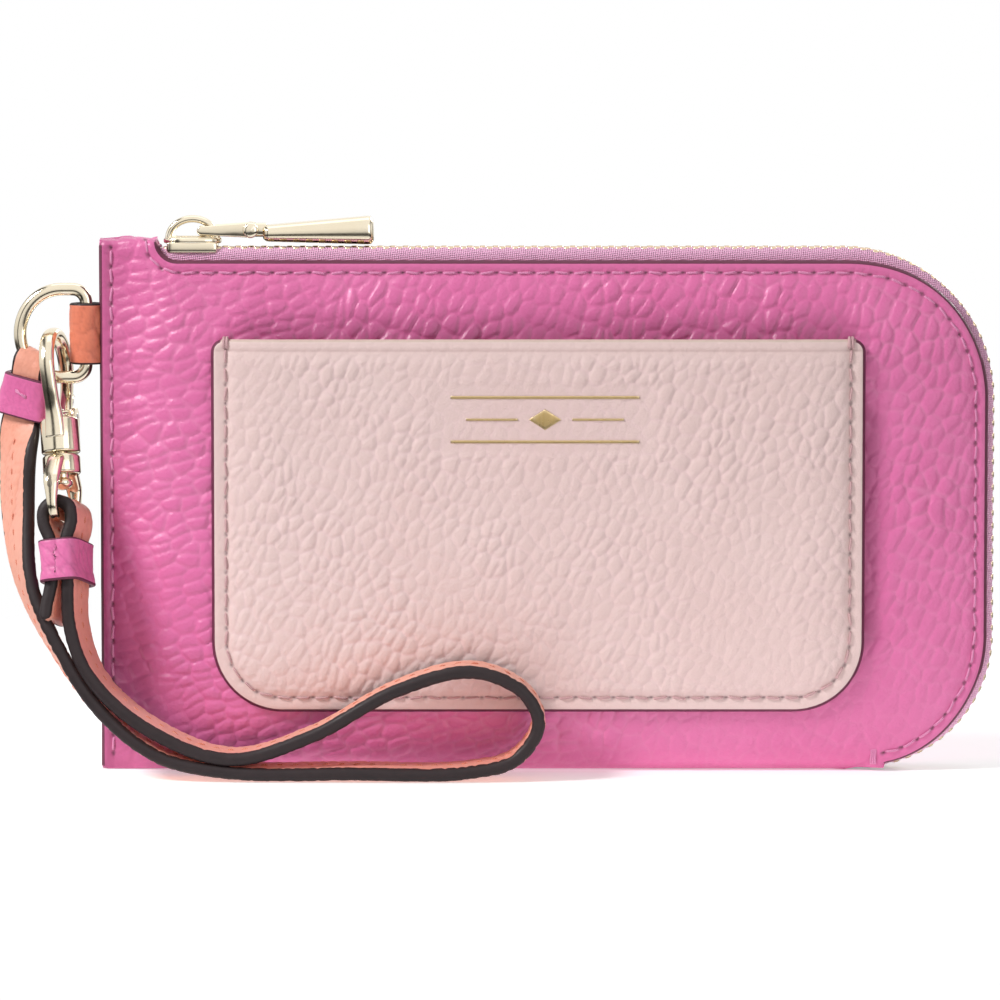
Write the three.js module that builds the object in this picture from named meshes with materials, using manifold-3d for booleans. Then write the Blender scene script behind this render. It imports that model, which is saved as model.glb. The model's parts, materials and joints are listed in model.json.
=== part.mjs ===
// A zip-around wristlet wallet in pebbled leather, with a front card pocket, a zip slider with a
// two-part pull, a D-ring on a side tab, and a wrist strap that clips to the ring with a swivel hook.
// Units are millimetres. +X is right, +Y is back and +Z is up. The origin is the middle of the
// bottom fold, on the surface the wallet stands on.
import * as THREE from "three";
import { mergeVertices } from "three/addons/utils/BufferGeometryUtils.js";
import Module from "manifold-3d";

const wasm = await Module();
wasm.setup();

// ---------------------------------------------------------------- driving dimensions

const WALLET = {
  left: -73, // sewn side edge
  right: 73, // outermost line of the zip teeth
  top: 85.7, // outermost line of the zip teeth along the top
  cornerTop: 24.8, // radius of the tooth line at the top right corner
  cornerBottom: 22, // and at the bottom right corner
  zipStart: -63.2,
  zipEndAngle: THREE.MathUtils.degToRad(-78.7),
  seamHalf: 2.4, // half depth at the sewn edge
  rimHalf: 4.6, // half depth beside the zip
  bodyHalf: 7.2, // half depth of the flat middle
  footHalf: 2.2, // half depth of the flat strip under the bottom fold
};
// How far in from each edge the wallet takes to swell to its full depth.
const SWELL = { seam: 13, sides: 25, top: 16, foot: 12 };
const FOLD = { radius: 4.6, endX: 46, fade: 8 }; // the bottom fold, which fades out at its right end
const SHEET = { left: -75, right: 75, low: -1, high: 89 }; // area a sheet covers before it is cut
const LEATHER = 1.1;
const FABRIC = 0.4;
const GAP = 0.3; // clearance kept between separate pieces
const CUT = 20; // reach of a cutting plate to the front and back, clear of everything
const CORNER_WRAP = { top: 87.2, right: -63.6, fillet: 3.9 }; // leather folded over at the top left
const PANEL_INSET = 2.4; // from the tooth line in to the cut leather edge
const LINING_INSET = 5.6; // from the tooth line in to the edge of the lining
const LINING_LOW = 5.4;
const LINING_DEPTH = LEATHER + 0.55; // from the outer surface in to the lining
const POCKET = { left: -54.6, right: 50.9, bottom: 10.1, top: 70.4, topRadius: 2, bottomRadius: 11.5 };
const POCKET_DEPTH = 1; // room for cards behind the pocket leather
const POCKET_MOUTH = 8; // how far the room for cards is cut past the pocket's top edge
const POCKET_BORDER = 2.6; // sewn border of the pocket
const SLIP_POCKET = { left: -46, right: 44, bottom: 12, top: 62, room: 0.5, thickness: 0.6 };

// The front folds open along a straight crease from beside the zip pull to the zip's lower end.
const CREASE_START = new THREE.Vector2(-25, 83.3);
const CREASE_END = new THREE.Vector2(54.6, 0.4);

const TOOTH = { pitch: 2.1, length: 0.8, inner: 0.2, outer: 2.1, cord: 1.35, height: 1.6 };
const CORD_INSET = 0.15; // from the tooth line down to the cord the teeth are fixed to
const STOP_LENGTH = 1.5;
// Section of a zip tape as half depth and inset from the tooth line. It turns in over the teeth.
const TAPE_SECTION = [
  [2.4, 1.1],
  [3, 1.7],
  [3, 5],
  [2.6, 5],
  [2.6, 1.9],
  [2.4, 1.6],
];
const SLIDER = { x: -57.9, length: 9.5, waist: 6.5, plateHalf: 3.4, plate: 0.9, lift: 0.35, skirt: 0.65 };
const TOOTH_ROOM = 2.7; // half width of the slider's channel
const BRIDGE = { halfWidth: 4.5, height: 3.8, bar: 1.1, halfDepth: 1.1 };
const PULL = { eyeX: -56.4, eyeZ: 88.1, rivetX: -48.4, rivetZ: 88.2, armInner: 1.45, armOuter: 2.25 };
const ARM_RADIUS = { eye: 0.75, rivet: 1.2 };
const PULL_PIN = { radius: 0.5, hole: 0.75, head: 1.25, headHeight: 0.5 };
const BAR = { start: -46.4, end: -28.4, base: 86, rise: 0.3, width: 5, chamfer: 0.9 };
const BAR_HEIGHT = { start: 3, end: 4.2 };

const TAB = { left: -78.1, width: 10, z: 71.3, ply: 0.9, tail: -67.5, loop: 3, mouth: 0.35 * Math.PI };
const RING = { barX: -75.4, bowX: -79.4, left: -86.1, z: 71.3, half: 7.15, wire: 1.1, corner: 2.2 };

const STRAP = { width: 9.5, thickness: 2.1 };
const KEEPER = 0.9; // thickness of a keeper band
const KEEPER_ROOM = 0.5; // clearance inside a keeper

// The hook hangs from this point on the lower wire of the ring and leans forward.
const HOOK_AT_RING = new THREE.Vector3(-80.1, -0.9, RING.z - RING.half);
const EYE_BAR = new THREE.Vector3(-78.6, -6.8, 41.4);
const HOOK = { claw: 8.2, half: 5.2, foot: 2.3, band: 1.9, width: 2.5, barrelTop: -7.3, barrelRadius: 3.2 };
const HOOK_TURN = THREE.MathUtils.degToRad(13);
// Heights and offsets below are measured in the hook's own frame, from the ring down its axis.
const BARREL_LOW = HOOK.barrelTop - 5.4;
const COLLAR = { top: BARREL_LOW - GAP, bottom: BARREL_LOW - GAP - 3.2, radius: 3.1 };
const PIVOT = { x: 3.3, z: HOOK.barrelTop + 1.2 };
const CLAW_TIP = 1.2; // where the claw's arm ends
const CLAW_WIDEST = 1.5;
const GATE = { half: 1.1, knuckle: 1.15, topGap: 0.6, toe: 1 };
const GATE_PIN = { radius: 0.5, hole: 0.8, length: 4 };
const SPRING = { turns: 3, perTurn: 10, rise: 0.62, radius: 0.6, wire: 0.14, x: 0.2 };
const SPRING_LOW = HOOK.barrelTop - 2.2;
const SWIVEL = { pin: 1.1, hole: 1.4, head: 1.7, headFlatten: 0.65, depth: 2.1 };
const EYE = { wire: 0.8, margin: 1.4, corner: 2, shoulder: 4, slope: 3.4 };

// The hook's own directions: along its axis, towards its front arm, and to its right.
const HOOK_UP = HOOK_AT_RING.clone().sub(EYE_BAR).normalize();
const HOOK_FRONT = new THREE.Vector3(-Math.sin(HOOK_TURN), -Math.cos(HOOK_TURN), 0);
HOOK_FRONT.addScaledVector(HOOK_UP, -HOOK_FRONT.dot(HOOK_UP)).normalize();
const HOOK_SIDE = new THREE.Vector3().crossVectors(HOOK_UP, HOOK_FRONT);

// ---------------------------------------------------------------- materials

const leather = (color, roughness = 0.55) => new THREE.MeshStandardMaterial({ color, roughness });
const ORCHID = leather(0xd9689f);
const BLUSH = leather(0xe3c3be);
const CORAL = leather(0xe8845c, 0.6);
const LINING = new THREE.MeshStandardMaterial({ color: 0xd98cb4, roughness: 0.85 });
const TAPE = new THREE.MeshStandardMaterial({ color: 0xe08cb8, roughness: 0.9 });
const GOLD = new THREE.MeshStandardMaterial({ color: 0xe8cf9a, roughness: 0.2, metalness: 1 });
const STEEL = new THREE.MeshStandardMaterial({ color: 0xb8b8b4, roughness: 0.3, metalness: 1 });

// ---------------------------------------------------------------- solids and booleans

// A closed geometry as a solid whose faces point out.
function solidOf(geometry) {
  const bare = geometry.clone();
  bare.deleteAttribute("normal");
  bare.deleteAttribute("uv");
  const merged = mergeVertices(bare, 1e-4);
  const triVerts = new Uint32Array(merged.index.array);
  const build = () =>
    new wasm.Manifold(
      new wasm.Mesh({ numProp: 3, vertProperties: merged.attributes.position.array, triVerts }),
    );
  const made = build();
  if (made.volume() > 0) return made;
  for (let i = 0; i < triVerts.length; i += 3)
    [triVerts[i + 1], triVerts[i + 2]] = [triVerts[i + 2], triVerts[i + 1]];
  return build();
}

function geometryOf(solid) {
  const mesh = solid.getMesh();
  const geometry = new THREE.BufferGeometry();
  geometry.setAttribute("position", new THREE.BufferAttribute(new Float32Array(mesh.vertProperties), 3));
  geometry.setIndex(new THREE.BufferAttribute(new Uint32Array(mesh.triVerts), 1));
  geometry.computeVertexNormals();
  return geometry;
}

const join = (solids) => solids.reduce((all, next) => all.add(next));

// A closed surface through rings of equal point counts. An open row gets flat ends.
function skin(rings, loop = false) {
  const count = rings[0].length;
  const index = [];
  for (let i = 0; i < (loop ? rings.length : rings.length - 1); i++)
    for (let j = 0; j < count; j++) {
      const next = ((i + 1) % rings.length) * count;
      const side = (j + 1) % count;
      index.push(i * count + j, i * count + side, next + side, i * count + j, next + side, next + j);
    }
  if (!loop) {
    const last = (rings.length - 1) * count;
    for (let j = 1; j < count - 1; j++) {
      index.push(0, j + 1, j);
      index.push(last, last + j, last + j + 1);
    }
  }
  const geometry = new THREE.BufferGeometry();
  const values = rings.flat().flatMap((point) => point.toArray());
  geometry.setAttribute("position", new THREE.Float32BufferAttribute(values, 3));
  geometry.setIndex(index);
  return solidOf(geometry);
}

// A flat outline in X and Z, extruded from y = low to y = high.
function plateXZ(shape, low, high, curveSegments = 8) {
  const settings = { depth: high - low, bevelEnabled: false, curveSegments };
  const geometry = new THREE.ExtrudeGeometry(shape, settings);
  return solidOf(geometry.rotateX(Math.PI / 2).translate(0, high, 0));
}

const block = (sizeX, sizeY, sizeZ, x, y, z) =>
  solidOf(new THREE.BoxGeometry(sizeX, sizeY, sizeZ).translate(x, y, z));

// ---------------------------------------------------------------- the wallet's form

// Rises smoothly from 0 to 1 over a span.
const rise = (distance, span) => Math.sin((Math.PI / 2) * THREE.MathUtils.clamp(distance / span, 0, 1));

// Half the wallet's depth at a point of the front, measured to the outer leather surface.
function halfDepth(x, z) {
  const fromSeam = x - WALLET.left;
  const side = WALLET.seamHalf + (WALLET.rimHalf - WALLET.seamHalf) * rise(fromSeam, SWELL.seam);
  const crown = rise(fromSeam, SWELL.sides) * rise(WALLET.right - PANEL_INSET - x, SWELL.sides);
  const height = rise(WALLET.top - PANEL_INSET - z, SWELL.top) * rise(z, SWELL.foot);
  const open = side + (WALLET.bodyHalf - WALLET.rimHalf) * crown * height;
  const roundness = Math.sqrt(1 - (1 - THREE.MathUtils.clamp(z / FOLD.radius, 0, 1)) ** 2);
  const folded = Math.max(roundness, THREE.MathUtils.clamp((x - FOLD.endX) / FOLD.fade, 0, 1));
  return THREE.MathUtils.lerp(WALLET.footHalf, open, folded);
}

// Grid lines that crowd towards both ends, where the form curves most.
function gridLines(low, high, count) {
  const middle = (low + high) / 2;
  const reach = (high - low) / 2;
  return Array.from({ length: count + 1 }, (_, i) => middle - reach * Math.cos((Math.PI * i) / count));
}

// A sheet that follows the front (side -1) or back (side 1), lying below the outer surface by depth.
function sheet(side, depth, thickness, columns = 16, rows = 12) {
  const heights = gridLines(SHEET.low, SHEET.high, rows);
  const ring = (x) => {
    const line = (below) => heights.map((z) => new THREE.Vector3(x, side * (halfDepth(x, z) - below), z));
    return [...line(depth), ...line(depth + thickness).reverse()];
  };
  return skin(gridLines(SHEET.left, SHEET.right, columns).map(ring));
}

// The line of the zip teeth, or a line parallel to it and further in.
function rimPath(inset, startX) {
  const topX = WALLET.right - WALLET.cornerTop;
  const bottomX = WALLET.right - WALLET.cornerBottom;
  const path = new THREE.Shape();
  path.moveTo(startX, WALLET.top - inset);
  path.lineTo(topX, WALLET.top - inset);
  path.absarc(topX, WALLET.top - WALLET.cornerTop, WALLET.cornerTop - inset, Math.PI / 2, 0, true);
  path.lineTo(WALLET.right - inset, WALLET.cornerBottom);
  path.absarc(bottomX, WALLET.cornerBottom, WALLET.cornerBottom - inset, 0, WALLET.zipEndAngle, true);
  return path;
}

// The outline of a leather panel, with the raised corner that wraps over at the top left.
function panelOutline() {
  const { top, right, fillet } = CORNER_WRAP;
  const cut = WALLET.top - PANEL_INSET;
  const outline = rimPath(PANEL_INSET, right + fillet);
  outline.lineTo(CREASE_END.x, 0);
  outline.lineTo(WALLET.left, 0);
  outline.lineTo(WALLET.left, top);
  outline.lineTo(right, top);
  outline.lineTo(right, cut + fillet);
  outline.absarc(right + fillet, cut + fillet, fillet, Math.PI, 1.5 * Math.PI, false);
  return outline;
}

const LINING_LEFT = TAB.tail + 0.7;

function liningOutline() {
  const outline = rimPath(LINING_INSET, LINING_LEFT);
  outline.lineTo(LINING_LEFT, LINING_LOW);
  return outline;
}

function pocketOutline(border = 0, extraTop = 0) {
  const { left, right, bottom, top, topRadius, bottomRadius } = POCKET;
  const [l, r, b, t] = [left + border, right - border, bottom + border, top + extraTop];
  const low = bottomRadius - border;
  const outline = new THREE.Shape();
  outline.moveTo(l + low, b);
  outline.lineTo(r - low, b);
  outline.absarc(r - low, b + low, low, -Math.PI / 2, 0, false);
  outline.lineTo(r, t - topRadius);
  outline.absarc(r - topRadius, t - topRadius, topRadius, 0, Math.PI / 2, false);
  outline.lineTo(l + topRadius, t);
  outline.absarc(l + topRadius, t - topRadius, topRadius, Math.PI / 2, Math.PI, false);
  outline.lineTo(l, b + low);
  outline.absarc(l + low, b + low, low, Math.PI, 1.5 * Math.PI, false);
  return outline;
}

// Everything on one side of the crease: 1 for the part that opens, -1 for the part that stays.
function creaseSide(side) {
  const along = CREASE_END.clone().sub(CREASE_START);
  const across = new THREE.Vector2(-along.y, along.x).normalize();
  const reach = 200; // larger than the wallet
  const centre = CREASE_START.clone().add(CREASE_END).multiplyScalar(0.5);
  centre.addScaledVector(across, side * (reach / 2 + GAP / 2));
  const box = new THREE.BoxGeometry(reach * 2, 2 * CUT, reach).rotateY(-along.angle());
  return solidOf(box.translate(centre.x, 0, centre.y));
}

const opens = creaseSide(1);
const stays = creaseSide(-1);
const panelPlate = plateXZ(panelOutline(), -CUT, CUT);
const liningPlate = plateXZ(liningOutline(), -CUT, CUT, 6);

// ---------------------------------------------------------------- leather, lining and pocket

function frontPanel() {
  return sheet(-1, 0, LEATHER).intersect(panelPlate);
}

// The back, the fold under the bottom, the sewn edge and the corner wrap are one piece of leather.
function outerShell() {
  const back = sheet(1, 0, LEATHER).intersect(panelPlate);
  const front = frontPanel().intersect(stays);
  const foldRight = CREASE_END.x - PANEL_INSET;
  const foldMiddle = (foldRight + WALLET.left) / 2;
  const foldDepth = 2 * WALLET.footHalf - 1;
  const fold = block(foldRight - WALLET.left, foldDepth, LEATHER, foldMiddle, 0, LEATHER / 2);
  const seamWidth = 2.5;
  const seamHeight = CORNER_WRAP.top - LEATHER;
  const seamDepth = 2 * WALLET.seamHalf - LEATHER;
  const seam = block(seamWidth, seamDepth, seamHeight, WALLET.left + seamWidth / 2, 0, seamHeight / 2);
  return join([back, front, fold, seam, cornerWrap()]).subtract(tabSlot());
}

// The leather that bridges from front to back over the top of the left corner.
function cornerWrap() {
  const { top, right } = CORNER_WRAP;
  const depthAt = (x) => halfDepth(x, top) - LEATHER / 2;
  const section = [
    [1, top],
    [-1, top],
    [-1, top - LEATHER],
    [1, top - LEATHER],
  ];
  const ring = (x) => section.map(([end, z]) => new THREE.Vector3(x, end * depthAt(x), z));
  return skin([WALLET.left, (WALLET.left + right) / 2, right].map(ring));
}

// The side tab's two tails pass through this slot in the sewn edge.
function tabSlot() {
  const length = 8;
  const depth = 2 * (TAB.ply + GAP) + GAP;
  return block(length, depth, TAB.width + 2 * GAP, TAB.tail + GAP - length / 2, 0, TAB.z);
}

function liningBag() {
  const back = sheet(1, LINING_DEPTH, FABRIC).intersect(liningPlate);
  const front = sheet(-1, LINING_DEPTH, FABRIC).intersect(liningPlate).intersect(stays);
  const low = 8;
  const height = 70;
  const sideHalf = halfDepth(LINING_LEFT, low + height / 2) - LINING_DEPTH - FABRIC / 2;
  const side = block(FABRIC * 2, 2 * sideHalf, height, LINING_LEFT + FABRIC, 0, low + height / 2);
  return join([back, front, side]);
}

function mouthLining() {
  return sheet(-1, LINING_DEPTH, FABRIC).intersect(liningPlate).intersect(opens);
}

function innerSlipPocket() {
  const { left, right, bottom, top, room, thickness } = SLIP_POCKET;
  const outline = new THREE.Shape();
  outline.moveTo(left, bottom);
  outline.lineTo(right, bottom);
  outline.lineTo(right, top);
  outline.lineTo(left, top);
  return sheet(1, LINING_DEPTH + FABRIC + room, thickness).intersect(plateXZ(outline, 0, CUT));
}

function cardPocket() {
  const proud = POCKET_DEPTH + LEATHER;
  const whole = sheet(-1, -proud, proud - GAP).intersect(plateXZ(pocketOutline(), -CUT, 0));
  const room = sheet(-1, -POCKET_DEPTH, POCKET_DEPTH + GAP);
  return whole.subtract(room.intersect(plateXZ(pocketOutline(POCKET_BORDER, POCKET_MOUTH), -CUT, 0)));
}

// ---------------------------------------------------------------- zip

// Points along a line parallel to the tooth line, the same number at every inset. They run between
// two X positions on the top run, or from one to the zip's lower end.
function rimPoints(inset, from, to) {
  if (to !== undefined) return [from, to].map((x) => new THREE.Vector2(x, WALLET.top - inset));
  const arc = (x, z, radius, low, high, count) =>
    Array.from({ length: count + 1 }, (_, i) => {
      const angle = THREE.MathUtils.lerp(low, high, i / count);
      return new THREE.Vector2(x + radius * Math.cos(angle), z + radius * Math.sin(angle));
    });
  const { cornerTop, cornerBottom, right, top, zipEndAngle } = WALLET;
  return [
    new THREE.Vector2(from, top - inset),
    ...arc(right - cornerTop, top - cornerTop, cornerTop - inset, Math.PI / 2, 0, 9),
    ...arc(right - cornerBottom, cornerBottom, cornerBottom - inset, 0, zipEndAngle, 8),
  ];
}

// A strip that follows the tooth line. Its section lists [half depth, inset] corners.
function rimStrip(side, section, from, to) {
  const lines = section.map(([y, inset]) =>
    rimPoints(inset, from, to).map((p) => new THREE.Vector3(p.x, side * y, p.y)),
  );
  return skin(lines[0].map((_, i) => lines.map((line) => line[i])));
}

const zipTape = (side, from, to) => rimStrip(side, TAPE_SECTION, from, to);

function zipTeeth(side, from, to) {
  const cord = [
    [TOOTH.cord, CORD_INSET],
    [TOOTH.outer, CORD_INSET],
    [TOOTH.outer, TOOTH.height],
    [TOOTH.cord, TOOTH.height],
  ];
  const path = rimPath(0, from);
  const whole = path.getLength();
  const length = to === undefined ? whole : to - from;
  const reach = TOOTH.cord - TOOTH.inner + CORD_INSET; // the root is sunk a little into the cord
  const height = TOOTH.height - 2 * CORD_INSET;
  const first = TOOTH.length / 2 + (side > 0 ? TOOTH.pitch / 2 : 0);
  const parts = [rimStrip(side, cord, from, to)];
  for (let at = first; at < length - TOOTH.length; at += TOOTH.pitch) {
    const point = path.getPointAt(at / whole);
    const tangent = path.getTangentAt(at / whole);
    const tooth = new THREE.BoxGeometry(TOOTH.length, reach, height);
    tooth.translate(0, side * (TOOTH.inner + reach / 2), -TOOTH.height / 2).rotateY(-tangent.angle());
    parts.push(solidOf(tooth.translate(point.x, 0, point.y)));
  }
  return join(parts);
}

function zipStop(x, z, angle, width) {
  const stop = new THREE.BoxGeometry(STOP_LENGTH, width, TOOTH.height).translate(0, 0, -TOOTH.height / 2);
  return solidOf(stop.rotateY(-angle).translate(x, 0, z));
}

// The stop past the last tooth, square to the tooth line there.
function zipStopEnd() {
  const path = rimPath(0, 0);
  const tangent = path.getTangentAt(1);
  const at = path.getPointAt(1).addScaledVector(tangent, STOP_LENGTH - GAP);
  return zipStop(at.x, at.y, tangent.angle(), 2 * BRIDGE.halfDepth);
}

// ---------------------------------------------------------------- slider and pull

// A half ellipse standing on a level line, as a plate across the slider.
function archPlate(base, halfWidth, height, halfDepth) {
  const arch = new THREE.Shape();
  arch.moveTo(SLIDER.x - halfWidth, base);
  arch.lineTo(SLIDER.x + halfWidth, base);
  arch.absellipse(SLIDER.x, base, halfWidth, height, 0, Math.PI, false);
  return plateXZ(arch, -halfDepth, halfDepth, 9);
}

function zipSlider() {
  const { x, length, waist, plateHalf, plate, lift, skirt } = SLIDER;
  const low = WALLET.top + lift;
  const high = low + plate;
  const bottom = WALLET.top - skirt;
  const plan = new THREE.Shape();
  plan.absellipse(0, 0, length / 2, plateHalf, 0, 2 * Math.PI, false);
  const column = { depth: high - bottom, bevelEnabled: false, curveSegments: 7 };
  const oval = solidOf(new THREE.ExtrudeGeometry(plan, column).translate(x, 0, bottom));
  const middle = block(waist, 2 * plateHalf - 0.1, high - bottom, x, 0, (high + bottom) / 2);
  const channelLow = bottom - 2; // the channel is open below
  const channel = block(2 * length, 2 * TOOTH_ROOM, low - channelLow, x, 0, (low + channelLow) / 2);
  const { halfWidth, height, bar, halfDepth: thick } = BRIDGE;
  const foot = high - 0.2; // sunk a little into the plate
  const hole = archPlate(foot, halfWidth - bar, height - bar, thick + 1);
  const bridge = archPlate(foot, halfWidth, height, thick).subtract(hole);
  return oval.add(middle).subtract(channel).add(bridge);
}

const rodY = (radius, length, x, z, sides = 14) =>
  solidOf(new THREE.CylinderGeometry(radius, radius, length, sides).translate(x, 0, z));

function pullLink() {
  const length = Math.hypot(PULL.rivetX - PULL.eyeX, PULL.rivetZ - PULL.eyeZ);
  const arm = new THREE.Shape();
  arm.absarc(0, 0, ARM_RADIUS.eye, Math.PI / 2, 1.5 * Math.PI, false);
  arm.lineTo(length, -ARM_RADIUS.rivet);
  arm.absarc(length, 0, ARM_RADIUS.rivet, -Math.PI / 2, Math.PI / 2, false);
  const hole = new THREE.Path();
  hole.absarc(length, 0, PULL_PIN.hole, 0, 2 * Math.PI, true);
  arm.holes.push(hole);
  const tilt = Math.atan2(PULL.rivetZ - PULL.eyeZ, PULL.rivetX - PULL.eyeX);
  const arms = [-1, 1].map((side) => {
    const depth = PULL.armOuter - PULL.armInner;
    const flat = new THREE.ExtrudeGeometry(arm, { depth, bevelEnabled: false, curveSegments: 6 });
    flat.rotateX(Math.PI / 2).translate(0, side > 0 ? PULL.armOuter : -PULL.armInner, 0);
    return solidOf(flat.rotateY(-tilt).translate(PULL.eyeX, 0, PULL.eyeZ));
  });
  const pinLength = PULL.armOuter + PULL.armInner; // ends inside the arms
  return join([...arms, rodY(PULL_PIN.radius, pinLength, PULL.eyeX, PULL.eyeZ, 10)]);
}

function pullBar() {
  const { start, end, base, rise: lift, width, chamfer } = BAR;
  const side = new THREE.Shape();
  side.moveTo(start, base + lift);
  side.lineTo(end - chamfer, base);
  side.lineTo(end, base + chamfer);
  side.lineTo(end, base + BAR_HEIGHT.end - chamfer);
  side.lineTo(end - chamfer, base + BAR_HEIGHT.end);
  side.lineTo(start, base + BAR_HEIGHT.start + lift);
  const grip = plateXZ(side, -width / 2, width / 2);
  const tangDepth = 2 * (PULL.armInner - GAP);
  const tangEnd = start + ARM_RADIUS.rivet / 2; // sunk into the grip
  const tangHeight = 2 * ARM_RADIUS.rivet;
  const tangMiddle = (tangEnd + PULL.rivetX) / 2;
  const tang = block(tangEnd - PULL.rivetX, tangDepth, tangHeight, tangMiddle, 0, PULL.rivetZ);
  const knuckle = rodY(ARM_RADIUS.rivet, tangDepth, PULL.rivetX, PULL.rivetZ);
  return join([grip, tang, knuckle]).subtract(rodY(PULL_PIN.hole, 2 * width, PULL.rivetX, PULL.rivetZ, 10));
}

function pullRivet() {
  const { radius, head, headHeight } = PULL_PIN;
  const reach = PULL.armOuter + GAP;
  const headAt = (side) =>
    rodY(head, headHeight, PULL.rivetX, PULL.rivetZ).translate([0, side * (reach + headHeight / 2), 0]);
  const pin = rodY(radius, 2 * reach + headHeight, PULL.rivetX, PULL.rivetZ, 10);
  return join([pin, headAt(-1), headAt(1)]);
}

// ---------------------------------------------------------------- side tab and D-ring

// The tab is one strip round the ring's bar, with both tails going into the sewn edge.
function sideTab() {
  const { ply, tail, loop, mouth } = TAB;
  const plan = new THREE.Shape();
  const centre = TAB.left + loop;
  const inner = GAP / 2;
  const outer = ply + inner;
  const neck = WALLET.left - 0.2;
  plan.moveTo(tail, -outer);
  plan.lineTo(tail, -inner);
  plan.lineTo(neck, -inner);
  plan.absarc(centre, 0, loop - ply, -mouth, mouth, true);
  plan.lineTo(neck, inner);
  plan.lineTo(tail, inner);
  plan.lineTo(tail, outer);
  plan.lineTo(neck, outer);
  plan.absarc(centre, 0, loop, mouth, -mouth, false);
  plan.lineTo(neck, -outer);
  const strip = new THREE.ExtrudeGeometry(plan, { depth: TAB.width, bevelEnabled: false, curveSegments: 10 });
  return solidOf(strip.translate(0, 0, TAB.z - TAB.width / 2));
}

// The ring's centre line in X and Z: a straight bar at the wallet and a round bow to the left.
function ringPath() {
  const { barX, bowX, left, z, half, corner } = RING;
  const path = new THREE.Path();
  path.moveTo(barX, z - half + corner);
  path.lineTo(barX, z + half - corner);
  path.absarc(barX - corner, z + half - corner, corner, 0, Math.PI / 2, false);
  path.lineTo(bowX, z + half);
  path.absellipse(bowX, z, bowX - left, half, Math.PI / 2, 1.5 * Math.PI, false);
  path.lineTo(barX - corner, z - half);
  path.absarc(barX - corner, z - half + corner, corner, -Math.PI / 2, 0, false);
  return path;
}

// Points of a round section about a centre, spread over two perpendicular directions.
const roundSection = (centre, u, v, radius, sides) =>
  Array.from({ length: sides }, (_, i) => {
    const angle = (2 * Math.PI * i) / sides;
    const point = centre.clone().addScaledVector(u, radius * Math.cos(angle));
    return point.addScaledVector(v, radius * Math.sin(angle));
  });

function dRing() {
  const stations = 32;
  const path = ringPath();
  const rings = Array.from({ length: stations }, (_, i) => {
    const point = path.getPointAt(i / stations);
    const tangent = path.getTangentAt(i / stations);
    const outward = new THREE.Vector3(tangent.y, 0, -tangent.x);
    const centre = new THREE.Vector3(point.x, 0, point.y);
    return roundSection(centre, outward, new THREE.Vector3(0, 1, 0), RING.wire, 10);
  });
  return skin(rings, true);
}

// ---------------------------------------------------------------- wrist strap

// A station is a point of the strap's middle line and the direction across its width there.
const besideEye = (offset, rise) => ({
  at: EYE_BAR.clone().addScaledVector(HOOK_SIDE, offset).addScaledVector(HOOK_UP, rise),
  across: HOOK_FRONT,
});

// The same from a position and how far the width is turned from the Y axis, in degrees.
function station(x, y, z, degrees) {
  const turn = THREE.MathUtils.degToRad(degrees);
  return { at: new THREE.Vector3(x, y, z), across: new THREE.Vector3(-Math.sin(turn), -Math.cos(turn), 0) };
}

// The strap starts at its tail below the eye, loops over the eye's bar, falls to the ground, turns
// back on itself and rises to the ring.
const LAYER = 1.25; // middle of each layer inside the lower keeper
const EYE_LOOP = 2.5; // radius of the loop over the eye's bar
const aroundEye = [200, 145, 90, 35, -20].map((degrees) => {
  const angle = THREE.MathUtils.degToRad(degrees);
  return besideEye(EYE_LOOP * Math.cos(angle), EYE_LOOP * Math.sin(angle));
});
const STRAP_LINE = [
  besideEye(-2.6, -14.2),
  besideEye(-1.4, -10.6),
  besideEye(-LAYER, -4.4),
  ...aroundEye,
  besideEye(LAYER, -4.4),
  besideEye(LAYER, -10),
  station(-77.2, -10.1, 24.6, 12),
  station(-74.9, -12, 16.6, 8),
  station(-66.2, -13.9, 8.6, 5),
  station(-51.6, -14.8, 3.6, 3),
  station(-38.4, -15, 7.2, 2),
  station(-24.1, -15.2, 14.9, 1),
  station(-12.4, -15.2, 17.8, 0),
  station(-4, -15, 14.4, 0),
  station(-1.6, -15, 9.2, 0),
  station(-5.2, -15, 3.6, 0),
  station(-13, -15, 1.45, 0),
  station(-32, -15, 1.3, 0),
  station(-51.5, -14.6, 1.45, 0),
  station(-63.4, -13.6, 4, -2),
  station(-73, -12.2, 11.4, -6),
  station(-79.8, -9.8, 20.8, -12),
  station(-84.8, -6.2, 31, -17),
  station(-86.5, -2.2, 43, -30),
  station(-86.5, -0.2, 52.4, -36),
];

// A flat band along stations, with its ends square to its length.
function band(stations, width, thickness, divisions) {
  const line = new THREE.CatmullRomCurve3(stations.map(({ at }) => at));
  const widths = new THREE.CatmullRomCurve3(stations.map(({ across }) => across));
  const rings = Array.from({ length: divisions + 1 }, (_, i) => {
    const t = i / divisions;
    const along = line.getTangent(t);
    const across = widths.getPoint(t);
    across.addScaledVector(along, -across.dot(along)).normalize();
    const face = new THREE.Vector3().crossVectors(along, across);
    const corner = (a, b) =>
      line.getPoint(t).addScaledVector(across, (a * width) / 2).addScaledVector(face, (b * thickness) / 2);
    return [corner(-1, -1), corner(1, -1), corner(1, 1), corner(-1, 1)];
  });
  return skin(rings);
}

const wristStrap = () => band(STRAP_LINE, STRAP.width, STRAP.thickness, 104);

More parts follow.
